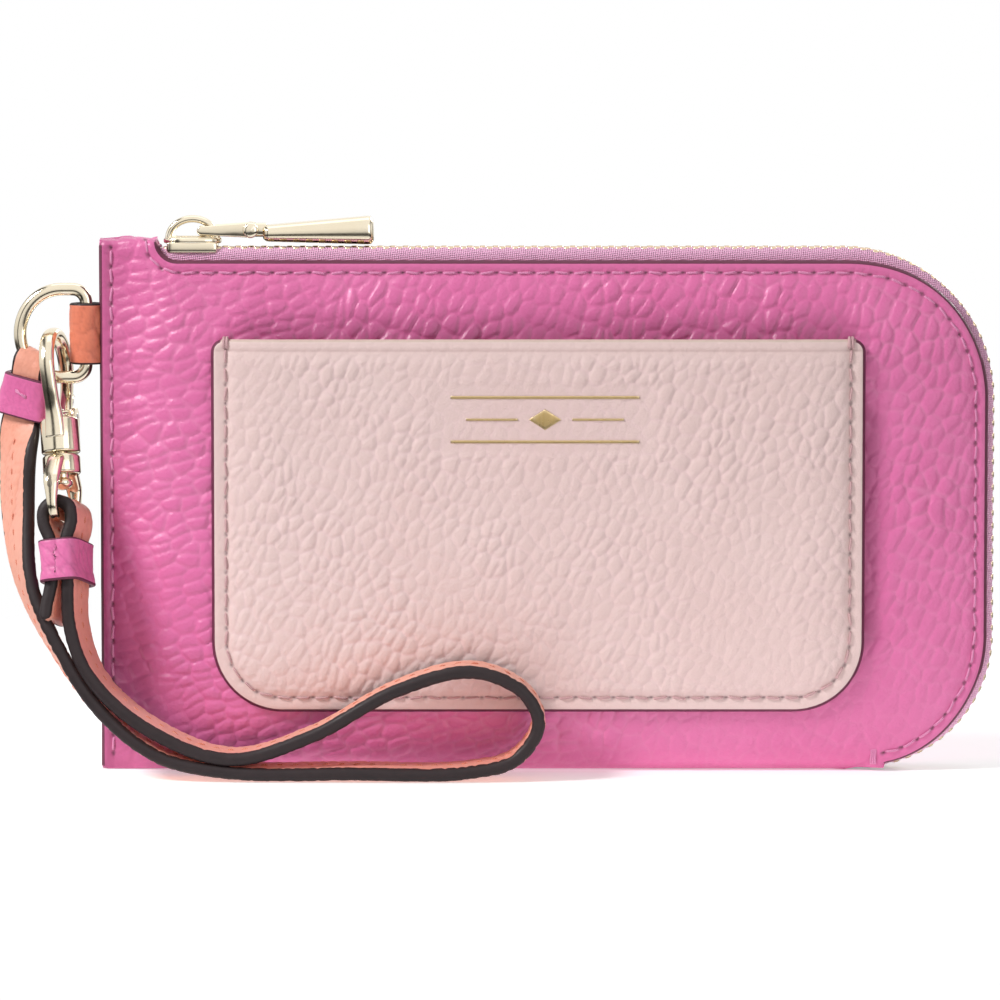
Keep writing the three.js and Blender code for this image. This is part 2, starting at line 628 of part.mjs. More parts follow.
// The strap's other end narrows to a tongue that wraps the lower left of the ring's bow.
const TONGUE = {
  foot: new THREE.Vector3(-85.8, 0.9, 57.9),
  ring: new THREE.Vector3(-84, 0, 66),
  ply: 1.4,
  width: 4.6,
  wrapInner: RING.wire + 0.35,
  from: 213, // degrees round the bow, from the right
  to: 243,
};
TONGUE.up = TONGUE.ring.clone().sub(TONGUE.foot).normalize();
TONGUE.across = new THREE.Vector3(0.94, -0.34, 0);
TONGUE.across.addScaledVector(TONGUE.up, -TONGUE.across.dot(TONGUE.up)).normalize();

// A round rod along part of the ring's bow.
function bowRod(radius, fromDegrees, toDegrees) {
  const stations = 7;
  const rings = Array.from({ length: stations }, (_, i) => {
    const angle = THREE.MathUtils.degToRad(THREE.MathUtils.lerp(fromDegrees, toDegrees, i / (stations - 1)));
    const radiusX = RING.bowX - RING.left;
    const centre = new THREE.Vector3(radiusX * Math.cos(angle), 0, RING.half * Math.sin(angle));
    centre.add(new THREE.Vector3(RING.bowX, 0, RING.z));
    const outward = new THREE.Vector3(Math.cos(angle) / radiusX, 0, Math.sin(angle) / RING.half).normalize();
    return roundSection(centre, outward, new THREE.Vector3(0, 1, 0), radius, 14);
  });
  return skin(rings);
}

// A block standing on a point, from low to high along a direction.
function post(foot, up, across, halfFace, halfAcross, low, high) {
  const face = new THREE.Vector3().crossVectors(up, across).normalize();
  const corner = (h, a, b) => {
    const point = foot.clone().addScaledVector(up, h);
    return point.addScaledVector(face, a * halfFace).addScaledVector(across, b * halfAcross);
  };
  const ring = (h) => [corner(h, -1, -1), corner(h, 1, -1), corner(h, 1, 1), corner(h, -1, 1)];
  return skin([ring(low), ring(high)]);
}

function strapRingEnd() {
  const { foot, ring, up, across, ply, width, wrapInner, from, to } = TONGUE;
  const tongue = post(foot, up, across, ply, width / 2, 0, foot.distanceTo(ring) - wrapInner);
  const wrap = bowRod(wrapInner + ply, from, to);
  const past = 16; // degrees the hole runs past each end of the wrap
  return wrap.add(tongue).subtract(bowRod(wrapInner, from - past, to + past));
}

// A keeper is a closed band round two layers of strap, each of the given thickness.
function keeper(centre, up, across, height, ply, width) {
  const innerFace = ply + KEEPER_ROOM;
  const innerAcross = width / 2 + KEEPER_ROOM;
  const outside = post(centre, up, across, innerFace + KEEPER, innerAcross + KEEPER, -height / 2, height / 2);
  return outside.subtract(post(centre, up, across, innerFace, innerAcross, -height, height));
}

function keeperLower() {
  const height = 6.4;
  return keeper(besideEye(0, -7.1).at, HOOK_UP, HOOK_FRONT, height, LAYER + STRAP.thickness / 2, STRAP.width);
}

function keeperUpper() {
  const height = 5;
  const centre = TONGUE.foot.clone().addScaledVector(TONGUE.up, 2.1);
  return keeper(centre, TONGUE.up, TONGUE.across, height, TONGUE.ply, TONGUE.width);
}

// ---------------------------------------------------------------- swivel hook

// The hook is made standing at the origin, with its axis on Z, its claw in the X-Z plane and its
// front arm towards -X, and is then hung on the ring.
function hang(solid) {
  const [back, left] = [HOOK_FRONT, HOOK_SIDE].map((direction) => direction.clone().negate());
  const pose = new THREE.Matrix4().makeBasis(back, left, HOOK_UP);
  return solidOf(geometryOf(solid).applyMatrix4(pose.setPosition(HOOK_AT_RING)));
}

function rodZ(radius, low, high, sides = 18, x = 0) {
  const rod = new THREE.CylinderGeometry(radius, radius, high - low, sides).rotateX(Math.PI / 2);
  return solidOf(rod.translate(x, 0, (low + high) / 2));
}

// A pear-shaped claw, open on one side from its tip down to the gate's pivot.
function clawOutline() {
  const { claw, half, foot, band: thick, barrelTop } = HOOK;
  const steps = 18;
  const armLow = barrelTop - 2; // sunk into the barrel
  const trace = (grow) => {
    const reach = half + grow;
    const height = claw - thick / 2 + grow - CLAW_WIDEST;
    return Array.from({ length: steps + 1 }, (_, i) => {
      const angle = Math.PI * (1 - i / steps);
      return new THREE.Vector2(reach * Math.cos(angle), CLAW_WIDEST + height * Math.sin(angle));
    });
  };
  return new THREE.Shape([
    new THREE.Vector2(-foot - thick / 2, armLow),
    ...trace(thick / 2),
    new THREE.Vector2(half + thick / 2, CLAW_TIP),
    new THREE.Vector2(half - thick / 2, CLAW_TIP),
    ...trace(-thick / 2).reverse(),
    new THREE.Vector2(-foot + thick / 2, armLow),
  ]);
}

// The barrel carries the claw's arm, two ears for the gate's pin, and a well for its spring.
function hookBody() {
  const { barrelTop, barrelRadius, width } = HOOK;
  const arm = plateXZ(clawOutline(), -width / 2, width / 2);
  const barrel = rodZ(barrelRadius, BARREL_LOW, barrelTop);
  const ears = block(2.6, 4.2, 3.4, PIVOT.x - 0.2, 0, PIVOT.z - 0.8);
  const slot = block(5.4, 2 * (GATE.half + GAP) + 0.1, 5, PIVOT.x + 0.6, 0, PIVOT.z + 0.6);
  const pinHole = rodY(GATE_PIN.hole, 2 * CUT, PIVOT.x, PIVOT.z, 10);
  const springWell = rodZ(1.05, SPRING_LOW - 0.4, barrelTop + 2, 12, SPRING.x);
  const rivetHole = rodZ(SWIVEL.hole, BARREL_LOW - 1, BARREL_LOW + SWIVEL.depth + GAP, 14);
  return join([arm, barrel, ears]).subtract(join([slot, pinHole, springWell])).subtract(rivetHole);
}

function hookGate() {
  const outerX = HOOK.half + HOOK.band / 2 - 0.1;
  const innerX = HOOK.half - HOOK.band / 2 + 0.1;
  const high = CLAW_TIP - GATE.topGap;
  const side = new THREE.Shape();
  side.moveTo(PIVOT.x + 0.8, PIVOT.z);
  side.lineTo(outerX, high - GATE.toe);
  side.lineTo(outerX, high);
  side.lineTo(innerX, high);
  side.lineTo(PIVOT.x - 0.9, PIVOT.z);
  const thumb = block(1.5, 2 * GATE.half, 2.4, PIVOT.x + 1.7, 0, PIVOT.z + 3.2);
  const knuckle = rodY(GATE.knuckle, 2 * GATE.half, PIVOT.x, PIVOT.z);
  const body = join([plateXZ(side, -GATE.half, GATE.half), knuckle, thumb]);
  return body.subtract(rodY(GATE_PIN.hole, 2 * CUT, PIVOT.x, PIVOT.z, 10));
}

const gatePin = () => rodY(GATE_PIN.radius, GATE_PIN.length, PIVOT.x, PIVOT.z, 10);

function gateSpring() {
  const { turns, perTurn, rise: pitch, radius, wire, x } = SPRING;
  const rings = Array.from({ length: turns * perTurn + 1 }, (_, i) => {
    const angle = (2 * Math.PI * i) / perTurn;
    const outward = new THREE.Vector3(Math.cos(angle), Math.sin(angle), 0);
    const axis = new THREE.Vector3(x, 0, SPRING_LOW + (i / perTurn) * pitch);
    const centre = axis.addScaledVector(outward, radius);
    return roundSection(centre, outward, new THREE.Vector3(0, 0, 1), wire, 5);
  });
  return skin(rings);
}

// The rivet holds the collar against the barrel and lets it turn. Its domed head is below.
function swivelRivet() {
  const { pin, head, headFlatten, depth } = SWIVEL;
  const middle = COLLAR.bottom - GAP - head * headFlatten;
  const dome = new THREE.SphereGeometry(head, 12, 8).rotateX(Math.PI / 2).scale(1, 1, headFlatten);
  return rodZ(pin, middle, BARREL_LOW + depth, 12).add(solidOf(dome.translate(0, 0, middle)));
}

// A tapered frame for the strap, under a collar.
function swivelEye() {
  const { wire, margin, corner, shoulder, slope } = EYE;
  const drop = EYE_BAR.distanceTo(HOOK_AT_RING);
  const half = STRAP.width / 2 + margin;
  const trace = (path, grow) => {
    const [w, low, high] = [half + grow, -drop - grow, COLLAR.top - wire + grow];
    const r = corner + grow;
    path.moveTo(-w + r, low);
    path.lineTo(w - r, low);
    path.absarc(w - r, low + r, r, -Math.PI / 2, 0, false);
    path.lineTo(w, high - shoulder);
    path.lineTo(w - slope, high);
    path.lineTo(-w + slope, high);
    path.lineTo(-w, high - shoulder);
    path.lineTo(-w, low + r);
    path.absarc(-w + r, low + r, r, Math.PI, 1.5 * Math.PI, false);
    return path;
  };
  const outline = trace(new THREE.Shape(), wire);
  outline.holes.push(trace(new THREE.Path(), -wire));
  const frame = plateXZ(outline, -wire, wire, 4);
  const collar = rodZ(COLLAR.radius, COLLAR.bottom, COLLAR.top);
  return frame.add(collar).subtract(rodZ(SWIVEL.hole, COLLAR.bottom - 1, COLLAR.top + 1, 14));
}

// ---------------------------------------------------------------- assembly

const wallet = new THREE.Group();

function add(name, solid, material) {
  const mesh = new THREE.Mesh(geometryOf(solid), material);
  mesh.name = name;
  wallet.add(mesh);
}

add("outer_shell", outerShell(), ORCHID);
add("front_mouth_panel", frontPanel().intersect(opens), ORCHID);
add("lining_bag", liningBag(), LINING);
add("front_mouth_lining", mouthLining(), LINING);
add("inner_slip_pocket", innerSlipPocket(), LINING);
add("card_pocket", cardPocket().intersect(stays), BLUSH);
add("card_pocket_mouth_half", cardPocket().intersect(opens), BLUSH);

add("zip_tape_back", zipTape(1, WALLET.zipStart), TAPE);
add("zip_tape_front", zipTape(-1, CREASE_START.x + GAP), TAPE);
add("zip_tape_front_start", zipTape(-1, WALLET.zipStart, CREASE_START.x - GAP), TAPE);
add("zip_teeth_back", zipTeeth(1, WALLET.zipStart + 1), GOLD);
add("zip_teeth_front", zipTeeth(-1, CREASE_START.x + GAP), GOLD);
add("zip_teeth_front_start", zipTeeth(-1, WALLET.zipStart + 1, CREASE_START.x - GAP), GOLD);
add("zip_stop_start", zipStop(WALLET.zipStart - 0.2, WALLET.top - GAP, 0, 2 * TOOTH.outer - 2 * GAP), GOLD);
add("zip_stop_end", zipStopEnd(), GOLD);
add("zip_slider", zipSlider(), GOLD);
add("pull_link", pullLink(), GOLD);
add("pull_rivet", pullRivet(), GOLD);
add("pull_bar", pullBar(), GOLD);

add("side_tab", sideTab(), CORAL);
add("d_ring", dRing(), GOLD);
add("strap_ring_end", strapRingEnd(), CORAL);
add("keeper_upper", keeperUpper(), ORCHID);
add("wrist_strap", wristStrap(), CORAL);
add("keeper_lower", keeperLower(), ORCHID);

add("hook_body", hang(hookBody()), GOLD);
add("hook_gate", hang(hookGate()), GOLD);
add("gate_pin", hang(gatePin()), STEEL);
add("gate_spring", hang(gateSpring()), STEEL);
add("swivel_rivet", hang(swivelRivet()), GOLD);
add("swivel_eye", hang(swivelEye()), GOLD);

export default wallet;
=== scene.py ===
"""Looks for a zip-around wristlet wallet in pebbled leather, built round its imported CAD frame.

Lengths are millimetres until a mesh is made. +X is right, +Y is back and +Z is up. Places come from
the CAD nodes' boxes and the joints of the record. All soft pieces are swept or triangulated sheets
with their relief in the mesh, so no simulation is needed.
"""
import json
import math

import bmesh
import bpy
import numpy as np
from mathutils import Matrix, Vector
from mathutils.geometry import delaunay_2d_cdt
from mathutils.kdtree import KDTree


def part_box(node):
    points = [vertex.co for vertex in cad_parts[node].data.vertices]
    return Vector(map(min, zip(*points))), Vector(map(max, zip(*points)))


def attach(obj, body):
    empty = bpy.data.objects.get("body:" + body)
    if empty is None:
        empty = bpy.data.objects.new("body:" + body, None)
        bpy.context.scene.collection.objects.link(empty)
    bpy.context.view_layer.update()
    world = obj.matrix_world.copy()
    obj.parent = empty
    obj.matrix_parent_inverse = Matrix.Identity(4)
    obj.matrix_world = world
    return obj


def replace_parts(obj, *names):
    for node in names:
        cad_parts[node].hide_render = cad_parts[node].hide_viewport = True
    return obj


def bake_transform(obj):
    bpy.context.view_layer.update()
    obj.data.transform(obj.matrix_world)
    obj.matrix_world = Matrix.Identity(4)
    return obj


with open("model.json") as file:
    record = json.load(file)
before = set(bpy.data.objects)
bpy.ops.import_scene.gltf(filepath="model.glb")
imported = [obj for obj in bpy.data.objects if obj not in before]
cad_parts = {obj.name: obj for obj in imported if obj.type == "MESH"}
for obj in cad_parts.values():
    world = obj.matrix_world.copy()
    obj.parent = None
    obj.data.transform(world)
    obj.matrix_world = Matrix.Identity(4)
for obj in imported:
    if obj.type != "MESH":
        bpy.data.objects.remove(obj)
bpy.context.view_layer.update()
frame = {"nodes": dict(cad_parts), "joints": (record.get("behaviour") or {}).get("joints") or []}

MM = 0.001

# ------------------------------------------------------------------ places taken from the frame


def cad_box(node):
    low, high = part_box(node)
    return np.array(low) / MM, np.array(high) / MM


JOINTS = {joint["name"]: joint for joint in frame["joints"]}


def joint_at(name):
    return np.array(JOINTS[name]["pos_m"]) / MM


def joint_axis(name):
    axis = np.array(JOINTS[name]["axis"], float)
    return axis / np.linalg.norm(axis)


SHELL_LOW, SHELL_HIGH = cad_box("outer_shell")
TEETH_HIGH = cad_box("zip_teeth_back")[1]
POCKET_LOW = cad_box("card_pocket")[0]
POCKET_HIGH = cad_box("card_pocket_mouth_half")[1]
TAB_LOW, TAB_HIGH = cad_box("side_tab")
RING_LOW, RING_HIGH = cad_box("d_ring")
SLIDER_LOW, SLIDER_HIGH = cad_box("zip_slider")
BAR_LOW, BAR_HIGH = cad_box("pull_bar")
STOP_LOW, STOP_HIGH = cad_box("zip_stop_end")
SLIP_LOW, SLIP_HIGH = cad_box("inner_slip_pocket")

LEFT = SHELL_LOW[0]
WRAP_TOP = SHELL_HIGH[2] - 0.6
BODY_HALF = SHELL_HIGH[1]
TOOTH_MARGIN = 0.15
RIGHT = TEETH_HIGH[0] + TOOTH_MARGIN
TOP = TEETH_HIGH[2] + TOOTH_MARGIN
FOOT_HALF = 2.2
SEAM_HALF = 2.4
RIM_HALF = 4.6
LEATHER = 1.1
PANEL_INSET = 2.4
LINING_INSET = 5.6
LINING_DEPTH = 1.65
CORNER_TOP = 24.8
CORNER_BOTTOM = 22
ZIP_END_ANGLE = math.radians(-78.7)
ZIP_START = -63.2
WRAP_RIGHT = -63.6
FILLET = WRAP_TOP - (TOP - PANEL_INSET)

HOOK_AT = joint_at("hook_swivel")
HOOK_UP = joint_axis("hook_swivel")
HOOK_SIDE = joint_axis("gate_open")
HOOK_FRONT = np.cross(HOOK_SIDE, HOOK_UP)
EYE_DROP = 23.55
EYE_BAR = HOOK_AT - EYE_DROP * HOOK_UP

# The mouth folds open about this line of the front.
CREASE = joint_axis("mouth_open")
CREASE_ACROSS = np.array([-CREASE[2], 0, CREASE[0]])
if CREASE_ACROSS[0] < 0:
    CREASE_ACROSS = -CREASE_ACROSS

# ------------------------------------------------------------------ noise and relief


def smooth01(t):
    t = np.clip(t, 0, 1)
    return t * t * (3 - 2 * t)


def lattice(ix, iy, seed):
    value = np.sin(ix * 127.1 + iy * 311.7 + seed * 74.7) * 43758.5453
    return value - np.floor(value)


def waves(x, y, size, seed):
    """Smooth noise from -1 to 1 whose features are about size across."""
    gx, gy = x / size, y / size
    ix, iy = np.floor(gx), np.floor(gy)
    fx, fy = smooth01(gx - ix), smooth01(gy - iy)
    low = lattice(ix, iy, seed) * (1 - fx) + lattice(ix + 1, iy, seed) * fx
    high = lattice(ix, iy + 1, seed) * (1 - fx) + lattice(ix + 1, iy + 1, seed) * fx
    return 2 * (low * (1 - fy) + high * fy) - 1


def cells(x, y, seed):
    """For cells about 1 across: distance to the middle, distance to the border, and a number."""
    ix, iy = np.floor(x), np.floor(y)
    first = np.full(x.shape, 9.0)
    second = np.full(x.shape, 9.0)
    mark = np.zeros(x.shape)
    for dx in (-1, 0, 1):
        for dy in (-1, 0, 1):
            cx, cy = ix + dx, iy + dy
            px = cx + 0.5 + 0.72 * (lattice(cx, cy, seed) - 0.5)
            py = cy + 0.5 + 0.72 * (lattice(cx, cy, seed + 5) - 0.5)
            distance = np.hypot(x - px, y - py)
            nearer = distance < first
            second = np.where(nearer, first, np.minimum(second, distance))
            mark = np.where(nearer, lattice(cx, cy, seed + 9), mark)
            first = np.where(nearer, distance, first)
    return first, second - first, mark


def pebble_relief(x, y, seed, size, depth, degrees):
    """Height of pebbled leather, and its tone: 1 on a pebble and more in the creases, where a highlight is painted.

    The pebbles are longer along the given direction.
    """
    cos, sin = math.cos(math.radians(degrees)), math.sin(math.radians(degrees))
    wx = x + 0.7 * waves(x, y, size * 3.1, seed + 1) + 0.3 * waves(x, y, size * 1.1, seed + 2)
    wy = y + 0.7 * waves(x, y, size * 2.7, seed + 3) + 0.3 * waves(x, y, size * 1.2, seed + 4)
    along = (wx * cos + wy * sin) / (size * 1.42)
    across = (wy * cos - wx * sin) / (size * 0.84)
    middle, border, mark = cells(along, across, seed)
    strength = 0.62 + 0.38 * smooth01(0.5 + 0.9 * waves(x, y, 9, seed + 6))
    valley = np.exp(-((border / 0.17) ** 2))
    dome = 1 - 1.5 * middle**2
    height = depth * strength * (0.6 * dome + (0.5 + 0.4 * (mark - 0.5)) * (1 - valley))
    # The tone rises in the valleys: a painted highlight along the creases.
    return height, 1 + 0.1 * valley * strength


def wrinkle_relief(x, y, seed, depth=0.1):
    """Height and tone of thin soft leather with fine grain and slanting creases; the tone paints shade into the
    creases and fine grain lines.
    """
    slant = x + 0.5 * y
    warp = 1.2 * waves(x, y, 4, seed + 1)
    _, border, _ = cells((slant + warp) / 2, (y - 0.4 * x + warp) / 4.4, seed)
    _, fine_border, _ = cells(x / 0.9, y / 0.9, seed + 3)
    strength = smooth01(0.45 + 0.8 * waves(x, y, 7, seed + 6))
    crease = np.exp(-((border / 0.12) ** 2)) * strength
    fine = np.exp(-((fine_border / 0.2) ** 2))
    height = depth * (0.4 * np.minimum(border / 0.5, 1) - 0.9 * crease - 0.25 * fine)
    return height, np.clip(1 - 0.35 * crease - 0.15 * fine, 0, 1)


# ------------------------------------------------------------------ node materials


def linear(red, green, blue):
    """A colour given as 0 to 255 on screen, as Blender's linear colour."""
    share = np.array([red, green, blue]) / 255
    value = np.where(share <= 0.04045, share / 12.92, ((share + 0.055) / 1.055) ** 2.4)
    return (*value, 1)


class Shader:
    """A node material in the making. add() makes a node; its inputs are values or other sockets."""

    def __init__(self, name):
        self.material = bpy.data.materials.new(name)
        self.material.use_nodes = True
        self.tree = self.material.node_tree
        self.surface = self.tree.nodes["Principled BSDF"]
        coordinates = self.tree.nodes.new("ShaderNodeTexCoord").outputs["Object"]
        self.place = self.add("ShaderNodeVectorMath", coordinates, operation="SCALE", Scale=1 / MM)

    def add(self, kind, *inputs, **named):
        node = self.tree.nodes.new(kind)
        sockets = {key: value for key, value in named.items() if key in node.inputs.keys()}
        for key, value in named.items():
            if key not in sockets:
                setattr(node, key, value)
        for key, value in (*enumerate(inputs), *sockets.items()):
            self.feed(node.inputs[key], value)
        return node.outputs[0]

    def feed(self, socket, value):
        if isinstance(value, bpy.types.NodeSocket):
            self.tree.links.new(value, socket)
        elif value is not None:
            socket.default_value = value

    def set(self, **named):
        for key, value in named.items():
            self.feed(self.surface.inputs[key.replace("_", " ")], value)

    def math(self, operation, a, b=0.0, c=0.0, clamp=False):
        return self.add("ShaderNodeMath", a, b, c, operation=operation, use_clamp=clamp)

    def mix(self, share, a, b):
        node = self.tree.nodes.new("ShaderNodeMix")
        node.data_type = "RGBA"
        for index, value in ((0, share), (6, a), (7, b)):
            self.feed(node.inputs[index], value)
        return node.outputs[2]

    def noise(self, scale, detail=3.0, roughness=0.55, vector=None):
        place = self.place if vector is None else vector
        return self.add("ShaderNodeTexNoise", place, Scale=scale, Detail=detail, Roughness=roughness)

    def bump(self, height, strength, distance, normal=None):
        named = dict(Strength=strength, Distance=distance * MM, Height=height)
        return self.add("ShaderNodeBump", Normal=normal, **named)

    def attribute(self, name):
        node = self.tree.nodes.new("ShaderNodeAttribute")
        node.attribute_name = name
        return node.outputs["Fac"]

    def spread(self, value, low, high):
        """value from 0 to 1 mapped on to low to high."""
        return self.math("MULTIPLY_ADD", value, high - low, low)


# The painted highlight colour for the pebbles' creases.
CREASE_HIGHLIGHT = (255, 214, 234)


def leather_material(name, base, shade, light, grain=1.1, fine=0.35, rough=0.42, patch=0.05):
    """Leather whose tone follows the mesh: painted shade below 1 and a painted highlight above it."""
    s = Shader(name)
    tone = s.attribute("tone")
    pit = s.attribute("pit")
    patches = s.noise(patch, 2)
    colour = s.mix(s.spread(patches, -0.15, 0.75), linear(*base), linear(*light))
    # Tone below 1 mixes in painted shade; tone above 1 mixes in the painted crease highlight.
    colour = s.mix(s.math("SUBTRACT", 1.0, tone, clamp=True), colour, linear(*shade))
    colour = s.mix(s.math("SUBTRACT", tone, 1.0, clamp=True), colour, linear(*CREASE_HIGHLIGHT))
    mottle = s.noise(0.9, 4)
    colour = s.mix(s.math("MULTIPLY", mottle, 0.16), colour, linear(*light))
    # Stitch holes are painted dark as their shadow.
    colour = s.mix(pit, colour, linear(74, 22, 44))
    pores = s.add("ShaderNodeTexVoronoi", s.place, Scale=grain * 1.6, Randomness=1.0)
    threads = s.noise(grain * 3.5, 3)
    normal = s.bump(pores, fine * 0.5, 0.25)
    normal = s.bump(threads, fine, 0.12, normal)
    roughness = s.math("MULTIPLY_ADD", s.noise(0.6, 3), 0.16, rough - 0.08)
    s.set(Base_Color=colour, Roughness=roughness, Normal=normal)
    s.set(Sheen_Weight=0.12, Sheen_Roughness=0.5, Coat_Weight=0.2, Coat_Roughness=0.3)
    return s.material


def painted_edge_material(name, base, light):
    """Edge paint: a thick glossy coat with a slightly uneven surface."""
    s = Shader(name)
    cloud = s.noise(0.5, 3)
    colour = s.mix(cloud, linear(*base), linear(*light))
    normal = s.bump(s.noise(1.4, 3), 0.3, 0.2)
    s.set(Base_Color=colour, Roughness=s.spread(cloud, 0.42, 0.6), Normal=normal)
    s.set(Specular_IOR_Level=0.3, Coat_Weight=0.05)
    return s.material


def metal_material(name, base, dark, rough=0.13):
    """Polished plated metal with faint polishing marks and rubbed edges."""
    s = Shader(name)
    cloud = s.noise(0.35, 3)
    edges = s.add("ShaderNodeNewGeometry")
    pointiness = s.tree.nodes[-1].outputs["Pointiness"]
    worn = s.math("MULTIPLY", s.math("SUBTRACT", pointiness, 0.5), 4.0, clamp=True)
    colour = s.mix(s.math("MULTIPLY", cloud, 0.35), linear(*base), linear(*dark))
    colour = s.mix(worn, colour, linear(255, 248, 232))
    stretched = s.add("ShaderNodeMapping", s.place, Scale=(0.6, 3.0, 0.6))
    normal = s.bump(s.noise(2.4, 3, 0.5, stretched), 0.05, 0.05)
    s.set(Base_Color=colour, Metallic=1.0, Normal=normal)
    s.set(Roughness=s.spread(s.noise(0.8, 2), rough - 0.04, rough + 0.08))
    return s.material


def cloth_material(name, base, shade, twill, rough=0.85, sheen=0.4):
    """Woven cloth: crossing yarns of the given pitch in colour and bump."""
    s = Shader(name)
    split = s.tree.nodes.new("ShaderNodeSeparateXYZ")
    s.tree.links.new(s.place, split.inputs[0])
    x, y, z = split.outputs
    turn = 2 * math.pi / twill
    rising = s.math("SINE", s.math("MULTIPLY", s.math("ADD", x, z), turn))
    falling = s.math("SINE", s.math("MULTIPLY", s.math("SUBTRACT", x, z), turn * 1.3))
    weave = s.math("MULTIPLY_ADD", s.math("MULTIPLY", rising, falling), 0.5, 0.5)
    fuzz = s.noise(3.0, 4)
    height = s.math("MULTIPLY_ADD", fuzz, 0.5, weave)
    colour = s.mix(weave, linear(*shade), linear(*base))
    colour = s.mix(s.math("MULTIPLY", fuzz, 0.35), colour, linear(*shade))
    s.set(Base_Color=colour, Roughness=rough, Sheen_Weight=sheen, Sheen_Roughness=0.6)
    s.set(Normal=s.bump(height, 0.8, 0.25))
    return s.material


def thread_material(name, base, shade):
    """Sewing thread with its twist in colour and bump."""
    s = Shader(name)
    slanted = s.add("ShaderNodeMapping", s.place, Rotation=(0.6, 0.5, 0.7))
    twist = s.add("ShaderNodeTexWave", slanted, Scale=1.6, Distortion=1.5, Detail=2.0)
    s.set(Base_Color=s.mix(s.tree.nodes[-1].outputs["Fac"], linear(*shade), linear(*base)))
    s.set(Roughness=s.spread(s.noise(2.0), 0.5, 0.75), Normal=s.bump(twist, 0.5, 0.1))
    s.set(Sheen_Weight=0.3)
    return s.material


ORCHID = leather_material("orchid_leather", (220, 102, 160), (140, 40, 92), (232, 124, 178))
BLUSH = leather_material(
    "blush_leather", (226, 196, 192), (170, 130, 128), (234, 210, 206), 1.8, 0.3, 0.55
)
CORAL = leather_material(
    "coral_leather", (226, 120, 88), (150, 60, 40), (236, 142, 112), 1.6, 0.3, 0.5
)
# A lighter copy of the coral leather for the strap: painted light for its lit run.
CORAL_PAINTED_LIT = leather_material(
    "coral_leather_painted_lit", (240, 160, 134), (196, 100, 76), (248, 184, 164), 1.6, 0.3, 0.5
)
PLUM_EDGE = painted_edge_material("plum_edge", (88, 36, 60), (116, 58, 80))
BROWN_EDGE = painted_edge_material("brown_edge", (28, 19, 21), (48, 36, 38))
RAW_EDGE = painted_edge_material("raw_edge", (206, 184, 172), (226, 206, 194))
GOLD = metal_material("pale_gold", (236, 224, 200), (216, 196, 158))
# Dark metal painted into the swivel eye's slot as its shade.
SLOT_SHADE = metal_material("painted_slot_shade", (92, 74, 54), (60, 46, 34), 0.3)
STEEL = metal_material("spring_steel", (190, 190, 186), (150, 150, 146), 0.22)
TAPE = cloth_material("zip_tape", (255, 208, 234), (244, 164, 208), 0.8)
LINING = cloth_material("lining_fabric", (222, 134, 176), (184, 92, 138), 0.7, 0.7, 0.25)
PINK_THREAD = thread_material("pink_thread", (240, 164, 204), (206, 104, 158))
BLUSH_THREAD = thread_material("blush_thread", (226, 190, 190), (180, 130, 136))
CORAL_THREAD = thread_material("coral_thread", (240, 158, 132), (208, 116, 92))
TOOTH_METAL = metal_material("tooth_metal", (198, 164, 120), (140, 104, 70), 0.3)
FOIL = metal_material("ornament_foil", (206, 176, 120), (170, 138, 84), 0.28)

# ------------------------------------------------------------------ mesh building


def make_piece(name, parts, materials, smooth=True):
    """One object from (verts, faces, options) parts. Options: material, tone and pit, per part."""
    verts, faces, indices, tones, pits, start = [], [], [], [], [], 0
    for part_verts, part_faces, options in parts:
        part_verts = np.asarray(part_verts, float)
        count = len(part_verts)
        verts.append(part_verts)
        faces.extend([[i + start for i in face] for face in part_faces])
        material = options.get("material", 0)
        indices.append(np.broadcast_to(material, len(part_faces)))
        tones.append(np.broadcast_to(options.get("tone", 1.0), count))
        pits.append(np.broadcast_to(options.get("pit", 0.0), count))
        start += count
    mesh = bpy.data.meshes.new(name)
    mesh.from_pydata((np.vstack(verts) * MM).tolist(), [], faces)
    for material in materials:
        mesh.materials.append(material)
    mesh.polygons.foreach_set("material_index", np.concatenate(indices).astype(np.int32))
    for key, values in (("tone", tones), ("pit", pits)):
        attribute = mesh.attributes.new(key, "FLOAT", "POINT")
        attribute.data.foreach_set("value", np.concatenate(values).astype(np.float32))
    work = bmesh.new()
    work.from_mesh(mesh)
    bmesh.ops.recalc_face_normals(work, faces=work.faces)
    work.to_mesh(mesh)
    work.free()
    mesh.polygons.foreach_set("use_smooth", np.full(len(mesh.polygons), smooth))
    mesh.update()
    piece = bpy.data.objects.new(name, mesh)
    bpy.context.scene.collection.objects.link(piece)
    return piece


def unit(vectors):
    vectors = np.asarray(vectors, float)
    return vectors / np.maximum(np.linalg.norm(vectors, axis=-1, keepdims=True), 1e-12)


def resample(points, spacing, closed=False):
    """The line's points at an even spacing."""
    points = np.asarray(points, float)
    if closed:
        points = np.vstack([points, points[:1]])
    steps = np.linalg.norm(np.diff(points, axis=0), axis=1)
    points = points[np.concatenate([[True], steps > 1e-6])]
    steps = np.linalg.norm(np.diff(points, axis=0), axis=1)
    along = np.concatenate([[0], np.cumsum(steps)])
    count = max(2, round(along[-1] / spacing))
    at = np.linspace(0, along[-1], count + 1)
    at = at[:-1] if closed else at
    return np.stack([np.interp(at, along, column) for column in points.T], 1)


def directions(points, closed=False):
    if closed:
        return unit(np.roll(points, -1, 0) - np.roll(points, 1, 0))
    return unit(np.gradient(points, axis=0))


